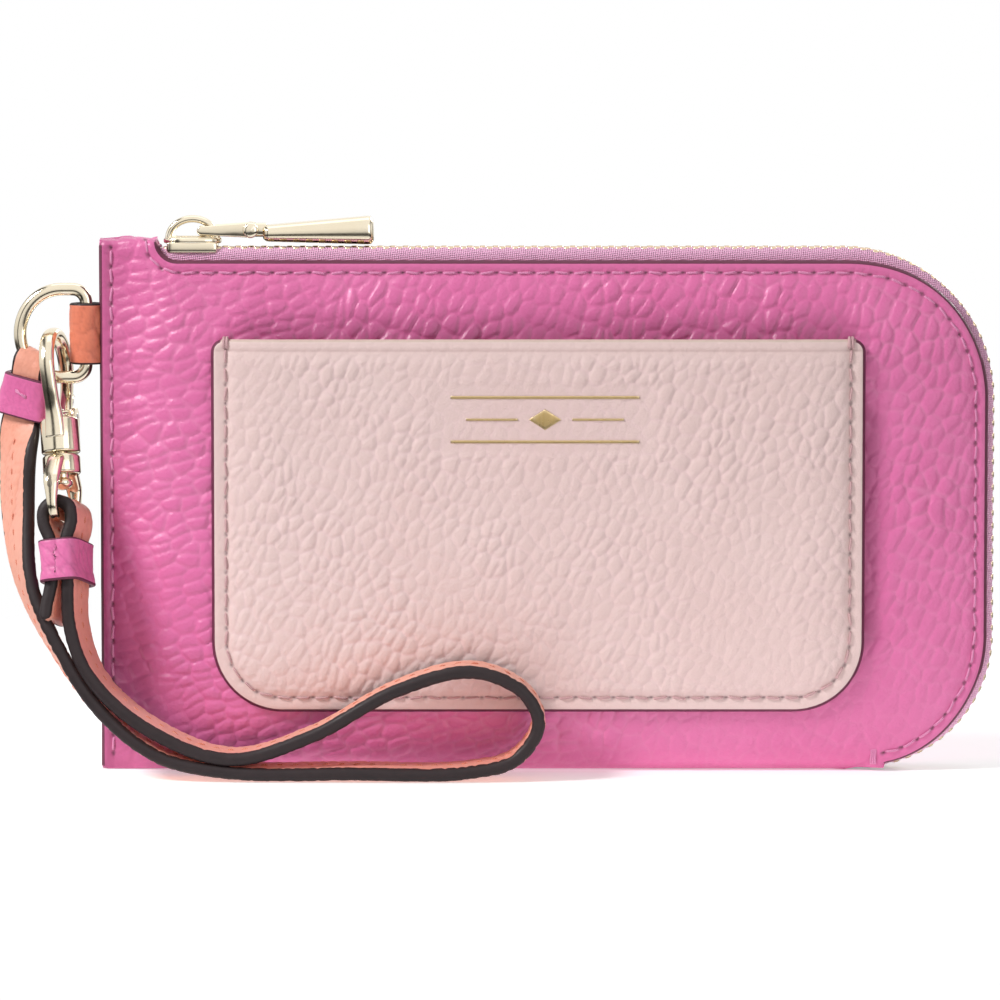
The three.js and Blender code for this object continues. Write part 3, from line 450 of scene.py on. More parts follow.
def through(stations, per_span):
    """A smooth line through stations; columns past the third are carried along."""
    rows = np.asarray(stations, float)
    rows = np.vstack([2 * rows[0] - rows[1], rows, 2 * rows[-1] - rows[-2]])
    out = []
    for p0, p1, p2, p3 in zip(rows, rows[1:], rows[2:], rows[3:]):
        gaps = [np.linalg.norm((b - a)[:3]) ** 0.5 for a, b in ((p0, p1), (p1, p2), (p2, p3))]
        t0, t1, t2, t3 = 0, gaps[0], gaps[0] + gaps[1], sum(gaps)
        t = np.linspace(t1, t2, per_span, endpoint=False)[:, None]
        a1 = ((t1 - t) * p0 + (t - t0) * p1) / (t1 - t0)
        a2 = ((t2 - t) * p1 + (t - t1) * p2) / (t2 - t1)
        a3 = ((t3 - t) * p2 + (t - t2) * p3) / (t3 - t2)
        b1 = ((t2 - t) * a1 + (t - t0) * a2) / (t2 - t0)
        b2 = ((t3 - t) * a2 + (t - t1) * a3) / (t3 - t1)
        out.append(((t2 - t) * b1 + (t - t1) * b2) / (t2 - t1))
    return np.vstack([*out, rows[-2:-1]])


def tube_faces(rings, count, closed):
    """Quads between rings of count points each, with flat ends on an open tube."""
    faces = []
    for i in range(rings if closed else rings - 1):
        a, b = i * count, (i + 1) % rings * count
        faces.extend([a + j, a + (j + 1) % count, b + (j + 1) % count, b + j] for j in range(count))
    if not closed:
        faces.append(list(range(count))[::-1])
        faces.append([(rings - 1) * count + j for j in range(count)])
    return faces


def sweep(path, across, section, closed=False):
    """Points of a section carried along a path. Section rows are [across, face] distances."""
    tangent = directions(path, closed)
    across = np.broadcast_to(across, path.shape)
    across = unit(across - np.sum(across * tangent, 1, keepdims=True) * tangent)
    face = np.cross(tangent, across)
    section = np.broadcast_to(section, (len(path), *np.shape(section)[-2:]))
    verts = path[:, None] + section[..., :1] * across[:, None] + section[..., 1:] * face[:, None]
    return verts, tangent, across, face


def round_section(half_across, half_face, sides=20, power=2.0):
    """A rounded section: an ellipse at power 2, nearer a box as the power grows."""
    angle = np.arange(sides) * 2 * math.pi / sides
    cos, sin = np.cos(angle), np.sin(angle)
    shape = np.stack(
        [np.sign(cos) * np.abs(cos) ** (2 / power), np.sign(sin) * np.abs(sin) ** (2 / power)], 1
    )
    return shape * np.array([half_across, half_face])


def rod(path, across, section, closed=False, **options):
    verts, *_ = sweep(path, across, section, closed)
    count = verts.shape[1]
    return verts.reshape(-1, 3), tube_faces(len(verts), count, closed), options


def lathe(origin, axis, profile, sides=32, **options):
    """A closed turned body. Profile rows are [radius, height]; it starts and ends on the axis."""
    axis = unit(axis)
    side = unit(np.cross(axis, [0.3, 0.9, 0.1]))
    other = np.cross(axis, side)
    profile = np.asarray(profile, float)
    angle = np.arange(sides) * 2 * math.pi / sides
    ring = np.cos(angle)[:, None] * side + np.sin(angle)[:, None] * other
    rows = [origin + height * axis + radius * ring for radius, height in profile]
    return np.vstack(rows), tube_faces(len(rows), sides, False), options


def rounded_profile(low, high, radius, bevel, steps=5):
    """Profile of a disc or barrel with rounded rims."""
    corner = np.linspace(0, math.pi / 2, steps)
    lower = [[radius - bevel + bevel * math.sin(a), low + bevel - bevel * math.cos(a)] for a in corner]
    upper = [[r, low + high - h] for r, h in lower[::-1]]
    return [[radius * 0.02, low], *lower, *upper, [radius * 0.02, high]]


def slab(outline, place, half, bevel, steps=4, **options):
    """A plate with rounded edges. place(points, height) takes 2-D points to space."""
    outline = np.asarray(outline, float)
    tangent = directions(outline, True)
    inward = np.stack([-tangent[:, 1], tangent[:, 0]], 1)
    area = np.sum(outline[:, 0] * np.roll(outline[:, 1], -1) - outline[:, 1] * np.roll(outline[:, 0], -1))
    inward = inward if area > 0 else -inward
    angle = np.linspace(0, math.pi / 2, steps)
    levels = [(bevel * (1 - math.sin(a)), half - bevel * (1 - math.cos(a))) for a in angle]
    levels += [(inset, -height) for inset, height in levels[::-1]]
    rings = [place(outline + inset * inward, height) for inset, height in levels]
    return np.vstack(rings), tube_faces(len(rings), len(outline), False), options


def band_section(width, thickness, columns, edge=6, edge_round=0.75):
    """Section of a leather strap: two faces and two rounded painted edges, and which rows are edge."""
    half, thick = width / 2, thickness / 2
    curve = min(thick * edge_round, half * 0.45)
    angle = np.linspace(-math.pi / 2, math.pi / 2, edge + 2)[1:-1]
    right = np.stack([half - curve + curve * np.cos(angle), thick * np.sin(angle)], 1)
    flat = np.linspace(half - curve, -(half - curve), columns)
    top = np.stack([flat, np.full(columns, thick)], 1)
    section = np.vstack([top, -right, -top, right])
    is_edge = np.concatenate([np.zeros(columns), np.ones(edge), np.zeros(columns), np.ones(edge)])
    return section, is_edge.astype(bool)


def band(path, across, width, thickness, seed, closed=False, depth=0.09, columns=18, tone_scale=1.0):
    """A leather strap along a path, with wrinkled faces (material 0) and painted edges (material 1)."""
    width = np.broadcast_to(width, len(path))
    thickness = np.broadcast_to(thickness, len(path))
    section, is_edge = band_section(1, 1, columns)
    sections = np.stack([band_section(w, t, columns)[0] for w, t in zip(width, thickness)])
    verts, tangent, across, face = sweep(path, across, sections, closed)
    steps = np.linalg.norm(np.diff(path, axis=0), axis=1)
    along = np.concatenate([[0], np.cumsum(steps)])[:, None]
    side = np.sign(sections[..., 1])
    height, tone = wrinkle_relief(along + 40 * side, sections[..., 0], seed, depth)
    fade = np.clip((width[:, None] / 2 - np.abs(sections[..., 0])) / 0.8, 0, 1) * ~is_edge
    verts = verts + (side * height * fade)[..., None] * face[:, None]
    rings, count = verts.shape[:2]
    faces = tube_faces(rings, count, closed)
    edge_face = is_edge | np.roll(is_edge, -1)
    material = np.tile(edge_face, rings if closed else rings - 1).astype(int)
    if not closed:
        material = np.concatenate([material, [1, 1]])
    # tone_scale sets how much shade is painted into the wrinkles.
    tone = 1 - (1 - tone) * tone_scale
    return verts.reshape(-1, 3), faces, dict(material=material, tone=tone.reshape(-1))


# ------------------------------------------------------------------ the wallet's form


def ramp(distance, span):
    return np.sin(math.pi / 2 * np.clip(distance / span, 0, 1))


def half_depth(x, z):
    """Half the wallet's depth, to the outer leather surface."""
    side = SEAM_HALF + (RIM_HALF - SEAM_HALF) * smooth01((x - LEFT - 1.2) / 12)
    crown = ramp(x - LEFT, 25) * ramp(RIGHT - PANEL_INSET - x, 25)
    height = smooth01((TOP - PANEL_INSET - z) / 17) * ramp(z, 12)
    open_half = side + (BODY_HALF - RIM_HALF) * crown * height
    roundness = np.sqrt(1 - (1 - np.clip(z / 4.6, 0, 1)) ** 2)
    folded = np.maximum(roundness, np.clip((x - 46) / 8, 0, 1))
    return FOOT_HALF + (open_half - FOOT_HALF) * folded


WRAP_BEND = 1.0  # radius where the leather turns over the top of the left corner


def panel_surface(side):
    """Takes (u, v) on a panel to space. v is the height, and runs on round the fold and the wrap."""

    def surface(u, v):
        z = np.clip(v, 0, WRAP_TOP - WRAP_BEND)
        half = half_depth(u, z)
        past = np.maximum(v - (WRAP_TOP - WRAP_BEND), 0)
        turn = np.minimum(past / WRAP_BEND, math.pi / 2)
        flat = np.maximum(past - WRAP_BEND * math.pi / 2, 0)
        half = half - WRAP_BEND * (1 - np.cos(turn)) - flat - np.maximum(-v, 0)
        z = z + WRAP_BEND * np.sin(turn)
        return np.stack([u, side * half, z], -1)

    return surface


def normals_of(surface, u, v, side):
    step = 0.05
    du = surface(u + step, v) - surface(u - step, v)
    dv = surface(u, v + step) - surface(u, v - step)
    return -side * unit(np.cross(du, dv))


def arc(x, z, radius, start, end, spacing=0.3):
    count = max(4, round(abs(end - start) * radius / spacing))
    angle = np.linspace(start, end, count + 1)
    return np.stack([x + radius * np.cos(angle), z + radius * np.sin(angle)], 1)


def rim_line(inset, start_x, spacing=0.3):
    """A line parallel to the zip's teeth, from start_x on the top run to the zip's lower end."""
    line = [
        [[start_x, TOP - inset]],
        arc(RIGHT - CORNER_TOP, TOP - CORNER_TOP, CORNER_TOP - inset, math.pi / 2, 0),
        arc(RIGHT - CORNER_BOTTOM, CORNER_BOTTOM, CORNER_BOTTOM - inset, 0, ZIP_END_ANGLE),
    ]
    return resample(np.vstack(line), spacing)


SIDE_TUCK = 0.95  # how much nearer the teeth the cut edge runs down the right side
END_TUCK = 0.8  # and how much nearer again at the zip's lower end


def cut_line(inset, start_x):
    """The panel's cut edge, or a line beside it: it draws nearer the teeth towards the zip's end."""
    line = rim_line(PANEL_INSET + inset, start_x)
    tangent = directions(line)
    outward = np.stack([-tangent[:, 1], tangent[:, 0]], 1)
    steps = np.linalg.norm(np.diff(line, axis=0), axis=1)
    left = np.cumsum(np.concatenate([[0], steps])[::-1])[::-1]
    turned = smooth01((line[:, 0] - (RIGHT - CORNER_TOP)) / 18) + (line[:, 1] < TOP - CORNER_TOP)
    tuck = SIDE_TUCK * np.minimum(turned, 1) + END_TUCK * smooth01(1 - left / 18)
    return line + outward * tuck[:, None]


FOLD_END = 50
ZIP_END = (
    RIGHT - CORNER_BOTTOM + CORNER_BOTTOM * math.cos(ZIP_END_ANGLE),
    CORNER_BOTTOM + CORNER_BOTTOM * math.sin(ZIP_END_ANGLE),
)


def panel_outline(spacing):
    """The panel's border in (u, v), and which of its points lie on a cut edge."""
    wrap_x = np.linspace(LEFT, WRAP_RIGHT, 24)
    wrap_v = WRAP_TOP - WRAP_BEND + WRAP_BEND * math.pi / 2 + half_depth(wrap_x, WRAP_TOP) - WRAP_BEND
    fold_x = np.linspace(ZIP_END[0] - 0.4, LEFT, 60)
    fold_v = ZIP_END[1] - (FOOT_HALF + ZIP_END[1]) * smooth01((FOLD_END - fold_x) / 6)
    fillet = arc(WRAP_RIGHT + FILLET, WRAP_TOP, FILLET, math.pi, 1.5 * math.pi)
    pieces = [
        (np.array([[LEFT, 0.4], [LEFT, WRAP_TOP - 0.8]]), True),
        (np.stack([wrap_x, wrap_v - 0.02], 1), False),
        (fillet, True),
        (cut_line(0, WRAP_RIGHT + FILLET), True),
        (np.stack([fold_x, fold_v], 1), False),
    ]
    points, cut = [], []
    for line, is_cut in pieces:
        even = resample(line, spacing)
        points.append(even)
        cut.append(np.full(len(even), is_cut))
    points, cut = np.vstack(points), np.concatenate(cut)
    keep = np.linalg.norm(points - np.roll(points, 1, 0), axis=1) > spacing * 0.3
    return points[keep], cut[keep]


def distance_to(samples, points):
    tree = KDTree(len(samples))
    for i, (x, z) in enumerate(samples):
        tree.insert((x, z, 0), i)
    tree.balance()
    return np.array([tree.find((x, z, 0))[2] for x, z in points])


def hexagonal(low, high, spacing):
    columns = np.arange(low[0], high[0], spacing)
    rows = np.arange(low[1], high[1], spacing * 0.866)
    x, z = np.meshgrid(columns, rows)
    x = x + (np.arange(len(rows)) % 2)[:, None] * spacing / 2
    return np.stack([x.ravel(), z.ravel()], 1)


def triangulate(outline, inner):
    """Triangles over an outline and inner points. The outline's points come first in the result."""
    points = np.vstack([outline, inner])
    count = len(outline)
    ring = [(i, (i + 1) % count) for i in range(count)]
    vectors = [Vector((float(x), float(z))) for x, z in points]
    verts, _, faces, origins, *_ = delaunay_2d_cdt(vectors, ring, [], 1, 1e-5)
    found = [origin[0] if origin else -1 for origin in origins]
    faces = [[found[i] for i in face] for face in faces]
    faces = np.array([face for face in faces if min(face) >= 0])
    used = np.zeros(len(points), bool)
    used[faces.ravel()] = True
    used[:count] = True
    index = np.cumsum(used) - 1
    return points[used], index[faces]


def offset_ring(outline, inset):
    tangent = directions(outline, True)
    inward = np.stack([-tangent[:, 1], tangent[:, 0]], 1)
    area = np.sum(outline[:, 0] * np.roll(outline[:, 1], -1) - outline[:, 1] * np.roll(outline[:, 0], -1))
    return outline + inset * (inward if area > 0 else -inward)


EDGE_ROUND = 0.55  # radius of a painted edge
EDGE_PAINT = 0.42  # how far the paint comes on to the face


def leather_sheet(outline, cut, inner, surface, side, thickness, relief, backing=3.0):
    """A closed leather sheet with rounded painted edges. relief(u, v, edge distance) gives height,
    tone and pit. Faces get material 0 and edges material 1."""
    rings = [offset_ring(outline, inset) for inset in (0.22, EDGE_PAINT, 0.75)]
    gap = distance_to(outline, np.vstack(rings))
    ring_points = np.vstack(rings)[gap > np.repeat([0.19, EDGE_PAINT - 0.05, 0.68], len(outline))]
    gap = distance_to(outline, inner)
    points, faces = triangulate(outline, np.vstack([ring_points, inner[gap > 0.95]]))
    u, v = points.T
    count = len(outline)
    edge = distance_to(outline[cut], points) if cut.any() else np.full(len(points), 9.0)
    height, tone, pit = relief(u, v, edge)
    short = np.clip(1 - edge / EDGE_ROUND, 0, 1)
    height = height * smooth01(edge / 1.2) - EDGE_ROUND * (1 - np.sqrt(1 - short**2))
    base = surface(u, v)
    normal = normals_of(surface, u, v, side)
    front = base + normal * height[:, None]
    middle_edge = edge[faces].mean(1)
    material = (middle_edge < EDGE_PAINT).astype(int)
    parts = [(front, faces.tolist(), dict(material=material, tone=tone, pit=pit))]
    verts, all_faces = [front], faces.tolist()
    materials, start = [material], len(front)
    outward = unit(base[:count] - surface(*offset_ring(outline, 0.3).T))
    is_cut = cut.astype(float)[:, None]
    previous = np.arange(count)
    for share, bulge in ((0.35, 0.12), (0.65, 0.12), (1.0, 0.0)):
        drop = (EDGE_ROUND * is_cut * (1 - share)) + thickness * share
        verts.append(base[:count] - normal[:count] * drop + outward * bulge * is_cut)
        current = np.arange(count) + start
        after, before = np.roll(current, -1), np.roll(previous, -1)
        all_faces += np.stack([previous, current, after, before], 1).tolist()
        materials.append(np.where(cut, 1, 0))
        previous = current
        start += count
    low, high = points.min(0), points.max(0)
    spare = hexagonal(low, high, backing)
    spare = spare[distance_to(outline, spare) > backing * 0.6]
    back_points, back_faces = triangulate(outline, spare)
    extra = back_points[count:]
    base = surface(*extra.T)
    verts.append(base - normals_of(surface, *extra.T, side) * thickness)
    renumber = np.concatenate([previous, np.arange(len(extra)) + start])
    all_faces += renumber[back_faces].tolist()
    materials.append(np.zeros(len(back_faces), int))
    total = sum(len(block) for block in verts)
    spare_count = total - len(front)
    tone = np.concatenate([tone, np.ones(spare_count)])
    pit = np.concatenate([pit, np.zeros(spare_count)])
    options = dict(material=np.concatenate(materials), tone=tone, pit=pit)
    return np.vstack(verts), all_faces, options


# ------------------------------------------------------------------ stitches

STITCH_PITCH = 3.05
STITCH_VISIBLE = 2.2


def stitch_line(line):
    """Stitches along a 2-D line, as rows of [middle, direction]."""
    even = resample(line, STITCH_PITCH)
    middle = (even[1:] + even[:-1]) / 2
    return np.hstack([middle, unit(even[1:] - even[:-1])])


def stitch_marks(u, v, stitches, groove=0.16, seed=0):
    """Height and pit of the holes and the groove that the stitches press into the leather. The pit marks where the
    holes' shadow is painted.
    """
    height, pit = np.zeros(len(u)), np.zeros(len(u))
    for x, z, dx, dz in stitches:
        near = (np.abs(u - x) < 2.4) & (np.abs(v - z) < 2.4)
        along = (u[near] - x) * dx + (v[near] - z) * dz
        across = (v[near] - z) * dx - (u[near] - x) * dz
        inside = np.abs(along) < STITCH_PITCH / 2 + 0.1
        swell = groove * np.exp(-((across / 0.75) ** 2)) * inside
        hole_at = np.abs(np.abs(along) - STITCH_PITCH / 2)
        hole = np.exp(-((hole_at / 0.4) ** 2) - (across / 0.24) ** 2)
        height[near] = np.minimum(height[near], -swell - 0.25 * hole)
        pit[near] = np.maximum(pit[near], np.minimum(1, 1.1 * hole))
    return height, pit


def threads(stitches, surface, side, lift=0.1, radius=0.21):
    """Thread stitches lying in the leather, each an arched rod between two holes."""
    parts = []
    share = np.linspace(-1, 1, 9)
    arch = np.sqrt(np.clip(1 - share**4, 0, 1))
    for number, (x, z, dx, dz) in enumerate(stitches):
        lean = 0.16 * math.sin(number * 2.4)
        u = x + share * STITCH_VISIBLE / 2 * dx - share * lean * dz
        v = z + share * STITCH_VISIBLE / 2 * dz + share * lean * dx
        base = surface(u, v)
        normal = normals_of(surface, u, v, side)
        path = base + normal * (lift * arch - 0.42 * (1 - arch))[:, None]
        parts.append(rod(path, normal, round_section(radius * 0.8, radius, 8)))
    return parts


def crease_blend(piece):
    """A piece of the front, with its transform baked into its mesh; no bend from the wallet to the mouth past the
    crease is set up here.
    """
    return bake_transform(piece)


# ------------------------------------------------------------------ front and back leather

POCKET_LEFT, POCKET_BOTTOM = POCKET_LOW[0], POCKET_LOW[2]
POCKET_RIGHT, POCKET_TOP = POCKET_HIGH[0] + 0.5, POCKET_HIGH[2] + 0.4
POCKET_CORNER = 11.5
POCKET_TOP_CORNER = 2.0
POCKET_PROUD = -POCKET_LOW[1] - BODY_HALF
POCKET_SIDE_INSET = 2.3
PANEL_STITCH_INSET = 1.9


def panel_stitches():
    """The sewn line down the left edge, and the one that follows the cut edge round the zip."""
    inset = PANEL_STITCH_INSET
    left = stitch_line(np.array([[LEFT + inset, WRAP_TOP - 1.2], [LEFT + inset, 2.6]]))
    turn_x = WRAP_RIGHT + FILLET
    corner = arc(turn_x, WRAP_TOP, FILLET + inset, math.pi, 1.5 * math.pi)
    run = [[[WRAP_RIGHT - inset, WRAP_TOP + 0.6]], corner, cut_line(inset, turn_x + 0.3)]
    rim = stitch_line(np.vstack(run))
    return left, rim


LEFT_STITCHES, RIM_STITCHES = panel_stitches()
PANEL_STITCHES = np.vstack([LEFT_STITCHES, RIM_STITCHES])


def panel_relief(seed, depth):
    def relief(u, v, edge):
        # The pebbles lie flat at the left and stand upright towards the right.
        level, level_tone = pebble_relief(u, v, seed, 2.35, depth, 18)
        upright, upright_tone = pebble_relief(u, v, seed + 100, 2.45, depth, 66)
        share = smooth01((u + 0.6 * v - 4) / 9)
        height = level + (upright - level) * share
        tone = level_tone + (upright_tone - level_tone) * share
        # The grain is pulled flat beside the seams and towards the lower right.
        calm = 1 - 0.6 * smooth01((u + 10) / 50) * smooth01((38 - v) / 25)
        beside = 0.3 + 0.7 * smooth01((edge - 1.0) / 3.5)
        height = height * calm * beside
        tone = 1 - (1 - tone) * calm * (0.4 + 0.6 * beside)
        pucker = waves(u * 0.4, v, 2.2, seed + 40) * np.exp(-(((u - LEFT - 5.5) / 2.6) ** 2))
        height = height + 0.14 * pucker
        press, pit = stitch_marks(u, v, PANEL_STITCHES)
        lip = 0.12 * np.exp(-(((edge - 1.0) / 0.5) ** 2))
        slack = 0.35 * waves(u, v, 17, seed + 50) + 0.16 * waves(u, v, 7, seed + 60)
        height = height + press + lip + slack * smooth01((edge - 3) / 8)
        # Painted shade: darker along the left margin, beside the cut edges and in the lower left.
        margin = 0.34 * (1 - smooth01((u - LEFT - 1) / 7)) + 0.1 * (1 - smooth01(edge / 2.5))
        painted_shade_low_left = 0.2 * smooth01((38 - v) / 25) * smooth01((-45 - u) / 15)
        # The fold that the wallet stands on is smooth.
        return height * smooth01((v + 0.5) / 4), tone - margin - painted_shade_low_left, pit

    return relief


def front_relief(u, v, edge):
    """The front is also pressed in along the top and the right of the card pocket, and painted darker there as the
    pocket's shadow.
    """
    height, tone, pit = panel_relief(3, 0.46)(u, v, edge)
    above = np.maximum(v - POCKET_TOP, 3 * (POCKET_TOP - v)) + 1.2 * np.maximum(np.abs(u) - 48, 0)
    beside = np.maximum(u - POCKET_RIGHT, 3 * (POCKET_RIGHT - u)) + np.maximum(np.abs(v - 40) - 18, 0)
    press = np.maximum(np.exp(-((above / 4.6) ** 2)), 0.8 * np.exp(-((beside / 2.6) ** 2)))
    # The tone drop here is painted shadow beside the pocket's proud edge.
    return height - 0.45 * press, tone - 0.66 * press, pit


def panel_grid(fine, hidden=None):
    """Inner points of a panel, coarser where another piece hides it."""
    low, high = (LEFT, -FOOT_HALF), (RIGHT, WRAP_TOP + 4)
    points = hexagonal(low, high, fine)
    if hidden is None:
        return points
    (left, bottom), (right, top) = hidden
    coarse = hexagonal((left, bottom), (right, top), 1.8)

    def within(p, margin):
        inside_x = (p[:, 0] > left + margin) & (p[:, 0] < right - margin)
        return inside_x & (p[:, 1] > bottom + margin) & (p[:, 1] < top - margin)

    return np.vstack([points[~within(points, 0)], coarse[within(coarse, 0.6)]])


FRONT_FINE = 0.35
BACK_FINE = 0.46
OUTLINE_STEP = 0.32
POCKET_HIDE = 3.0


def build_panels():
    outline, cut = panel_outline(OUTLINE_STEP)
    hidden = (
        (POCKET_LOW[0] + POCKET_HIDE, POCKET_LOW[2] + POCKET_HIDE + 2),
        (POCKET_HIGH[0] - POCKET_HIDE, POCKET_HIGH[2] - POCKET_HIDE),
    )
    front = panel_surface(-1)
    grid = panel_grid(FRONT_FINE, hidden)
    part = leather_sheet(outline, cut, grid, front, -1, LEATHER, front_relief)
    piece = make_piece("front_leather", [part], [ORCHID, PLUM_EDGE])
    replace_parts(crease_blend(piece), "outer_shell", "front_mouth_panel")

    back = panel_surface(1)
    grid = panel_grid(BACK_FINE)
    part = leather_sheet(outline, cut, grid, back, 1, LEATHER, panel_relief(11, 0.46))
    piece = make_piece("back_leather", [part], [ORCHID, PLUM_EDGE])
    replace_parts(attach(piece, "wallet"), "outer_shell")

    for name, surface, side, stitches in (
        ("front_side_stitches", front, -1, LEFT_STITCHES),
        ("front_rim_stitches", front, -1, RIM_STITCHES),
        ("back_stitches", back, 1, PANEL_STITCHES),
    ):
        sewn = threads(stitches, surface, side) + bar_tack(surface, side)
        piece = make_piece(name, sewn if "side" not in name else sewn[:-3], [PINK_THREAD])
        if name == "front_rim_stitches":
            crease_blend(piece)
        else:
            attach(piece, "wallet")
        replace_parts(piece, "outer_shell")


def bar_tack(surface, side):
    """Three upright threads that close the seam at the zip's lower end."""
    parts = []
    for shift in (-0.32, 0, 0.32):
        v = np.linspace(3.7, 0.9, 9)
        u = np.full(9, ZIP_END[0] - 2.1 + shift)
        base = surface(u, v)
        normal = normals_of(surface, u, v, side)
        arch = np.sqrt(np.clip(1 - np.linspace(-1, 1, 9) ** 4, 0, 1))
        path = base + normal * (0.2 * arch - 0.3 * (1 - arch))[:, None]
        parts.append(rod(path, normal, round_section(0.18, 0.2, 8)))
    return parts


def build_side_seam():
    """The painted edge that closes the sewn left side between the two leathers."""
    height = np.linspace(0.5, WRAP_TOP - 0.5, 120)
    wobble = 0.05 * waves(height, height * 0, 3, 5)
    path = np.stack([np.full(len(height), LEFT + 0.75) + wobble, 0 * height, height], 1)
    section = round_section(SEAM_HALF - 0.5, 0.85, 20, 4)
    piece = make_piece("side_seam_edge", [rod(path, [0, 1, 0], section)], [PLUM_EDGE])
    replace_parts(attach(piece, "wallet"), "outer_shell")


# ------------------------------------------------------------------ card pocket

def pocket_outline(inset=0.0, spacing=0.32):
    left, right = POCKET_LEFT + inset, POCKET_RIGHT - inset
    bottom, top = POCKET_BOTTOM + inset, POCKET_TOP - inset
    low = POCKET_CORNER - inset
    high = max(POCKET_TOP_CORNER - inset, 0.3)
    quarter = math.pi / 2
    corners = [
        arc(left + low, bottom + low, low, -2 * quarter, -quarter),
        arc(right - low, bottom + low, low, -quarter, 0),
        arc(right - high, top - high, high, 0, quarter),
        arc(left + high, top - high, high, quarter, 2 * quarter),
    ]
    return resample(np.vstack(corners), spacing, True)


def pocket_stitch_rows():
    inset = POCKET_SIDE_INSET
    left, right, bottom = POCKET_LEFT + inset, POCKET_RIGHT - inset, POCKET_BOTTOM + inset
    low = POCKET_CORNER - inset
    quarter = math.pi / 2
    run = [
        [[left, POCKET_TOP - 1.2]],
        arc(left + low, bottom + low, low, 2 * quarter, 3 * quarter),
        arc(right - low, bottom + low, low, -quarter, 0),
        [[right, POCKET_TOP - 1.2]],
    ]
    return stitch_line(np.vstack(run))


POCKET_STITCHES = pocket_stitch_rows()
FOIL_MIDDLE = (-0.5, 57.85)


def pocket_surface(u, v):
    """The pocket lies on the panel along its sewn border and swells away from it inside."""
    border = np.minimum(u - POCKET_LEFT, POCKET_RIGHT - u)
    swell = ramp(border - 1.5, 9) * ramp(v - POCKET_BOTTOM - 1.5, 9)
    lift = LEATHER + 0.25 + (POCKET_PROUD - LEATHER - 0.25) * swell
    point = panel_surface(-1)(u, v)
    point[..., 1] -= lift
    return point


def pocket_relief(u, v, edge):
    height, tone = pebble_relief(u, v, 70, 2.1, 0.3, 62)
    # The foil is hot-pressed, so the grain is flat round it.
    stamped = np.maximum(np.abs(u - FOIL_MIDDLE[0]) / 18, np.abs(v - FOIL_MIDDLE[1]) / 5.6)
    height = height * (0.3 + 0.7 * smooth01((stamped - 0.9) * 5))
    calm = 1 - 0.4 * smooth01((u - 5) / 40) * smooth01((40 - v) / 25)
    beside = 0.25 + 0.75 * smooth01((edge - 2.2) / 1.8)
    press, pit = stitch_marks(u, v, POCKET_STITCHES, 0.2)
    line = np.exp(-(((POCKET_TOP - v - 1.8) / 0.22) ** 2))
    ripple = 0.12 * waves(u, v, 13, 75)
    height = height * calm * beside + press - 0.14 * line + ripple * smooth01((edge - 3) / 8)
    tone = 1 - (1 - tone) * calm * beside
    return height, tone - 0.35 * line, 0.8 * pit


def ornament():
    """A generic foil ornament: two thin rules with a rhombus and short rules between them."""
    middle_x, middle_z = FOIL_MIDDLE
    half = 15.3

    def strip(x, z, half_long, half_high):
        """A flat strip whose half height is given at even steps along it."""
        count = len(half_high)
        u = x + np.linspace(-half_long, half_long, count)
        v = np.full(count, z)
        relief = pocket_relief(u, v, np.full(count, 9.0))[0]
        normal = normals_of(pocket_surface, u, v, -1)
        path = pocket_surface(u, v) + normal * (relief + 0.06)[:, None]
        size = np.stack([half_high, np.full(count, 0.07)], 1)
        return rod(path, [0, 0, 1], round_section(1, 1, 12, 3)[None] * size[:, None])

    rhombus = 0.03 + 1.7 * (1 - np.abs(np.linspace(-1, 1, 31)))
    parts = [strip(middle_x, middle_z, 2.6, rhombus)]
    for end in (-1, 1):
        parts.append(strip(middle_x, middle_z + end * 3.6, half, np.full(104, 0.25)))
        parts.append(strip(middle_x + end * 8.6, middle_z, 4.2, np.full(30, 0.2)))
    return parts


def build_pocket():
    outline = pocket_outline(0.0, OUTLINE_STEP)
    cut = np.ones(len(outline), bool)
    fine = 0.34
    grid = hexagonal((POCKET_LEFT, POCKET_BOTTOM), (POCKET_RIGHT, POCKET_TOP), fine)
    part = leather_sheet(outline, cut, grid, pocket_surface, -1, LEATHER, pocket_relief)
    # The mouth of the pocket is left unpainted between its corners.
    verts, faces, options = part
    material = options["material"]
    for number, face in enumerate(faces):
        x, _, z = verts[face].mean(0)
        if material[number] == 1 and z > POCKET_TOP - 0.9 and POCKET_LEFT + 1.5 < x < POCKET_RIGHT - 1.5:
            material[number] = 2
    leather = make_piece("card_pocket_leather", [part], [BLUSH, PLUM_EDGE, RAW_EDGE])
    sewn = threads(POCKET_STITCHES, pocket_surface, -1, 0.08, 0.19)
    for x in (POCKET_LEFT + POCKET_SIDE_INSET, POCKET_RIGHT - POCKET_SIDE_INSET):
        # The last stitch of each column is doubled over the pocket's top edge.
        for shift in (-0.25, 0.25):
            u = np.full(7, x + shift)
            v = POCKET_TOP + np.array([-1.4, -0.9, -0.4, 0.05, 0.2, 0.2, 0.1])
            path = pocket_surface(u, np.minimum(v, POCKET_TOP))
            path[:, 2] = v
            path[:, 1] += np.array([0.1, -0.12, -0.1, 0.1, 0.5, 1.0, 1.5])
            sewn.append(rod(path, [1, 0, 0], round_section(0.26, 0.26, 8)))
    stitches = make_piece("card_pocket_stitches", sewn, [BLUSH_THREAD])
    foil = make_piece("card_pocket_ornament", ornament(), [FOIL])
    for piece in (leather, stitches, foil):
        crease_blend(piece)
        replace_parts(piece, "card_pocket", "card_pocket_mouth_half")


# ------------------------------------------------------------------ lining


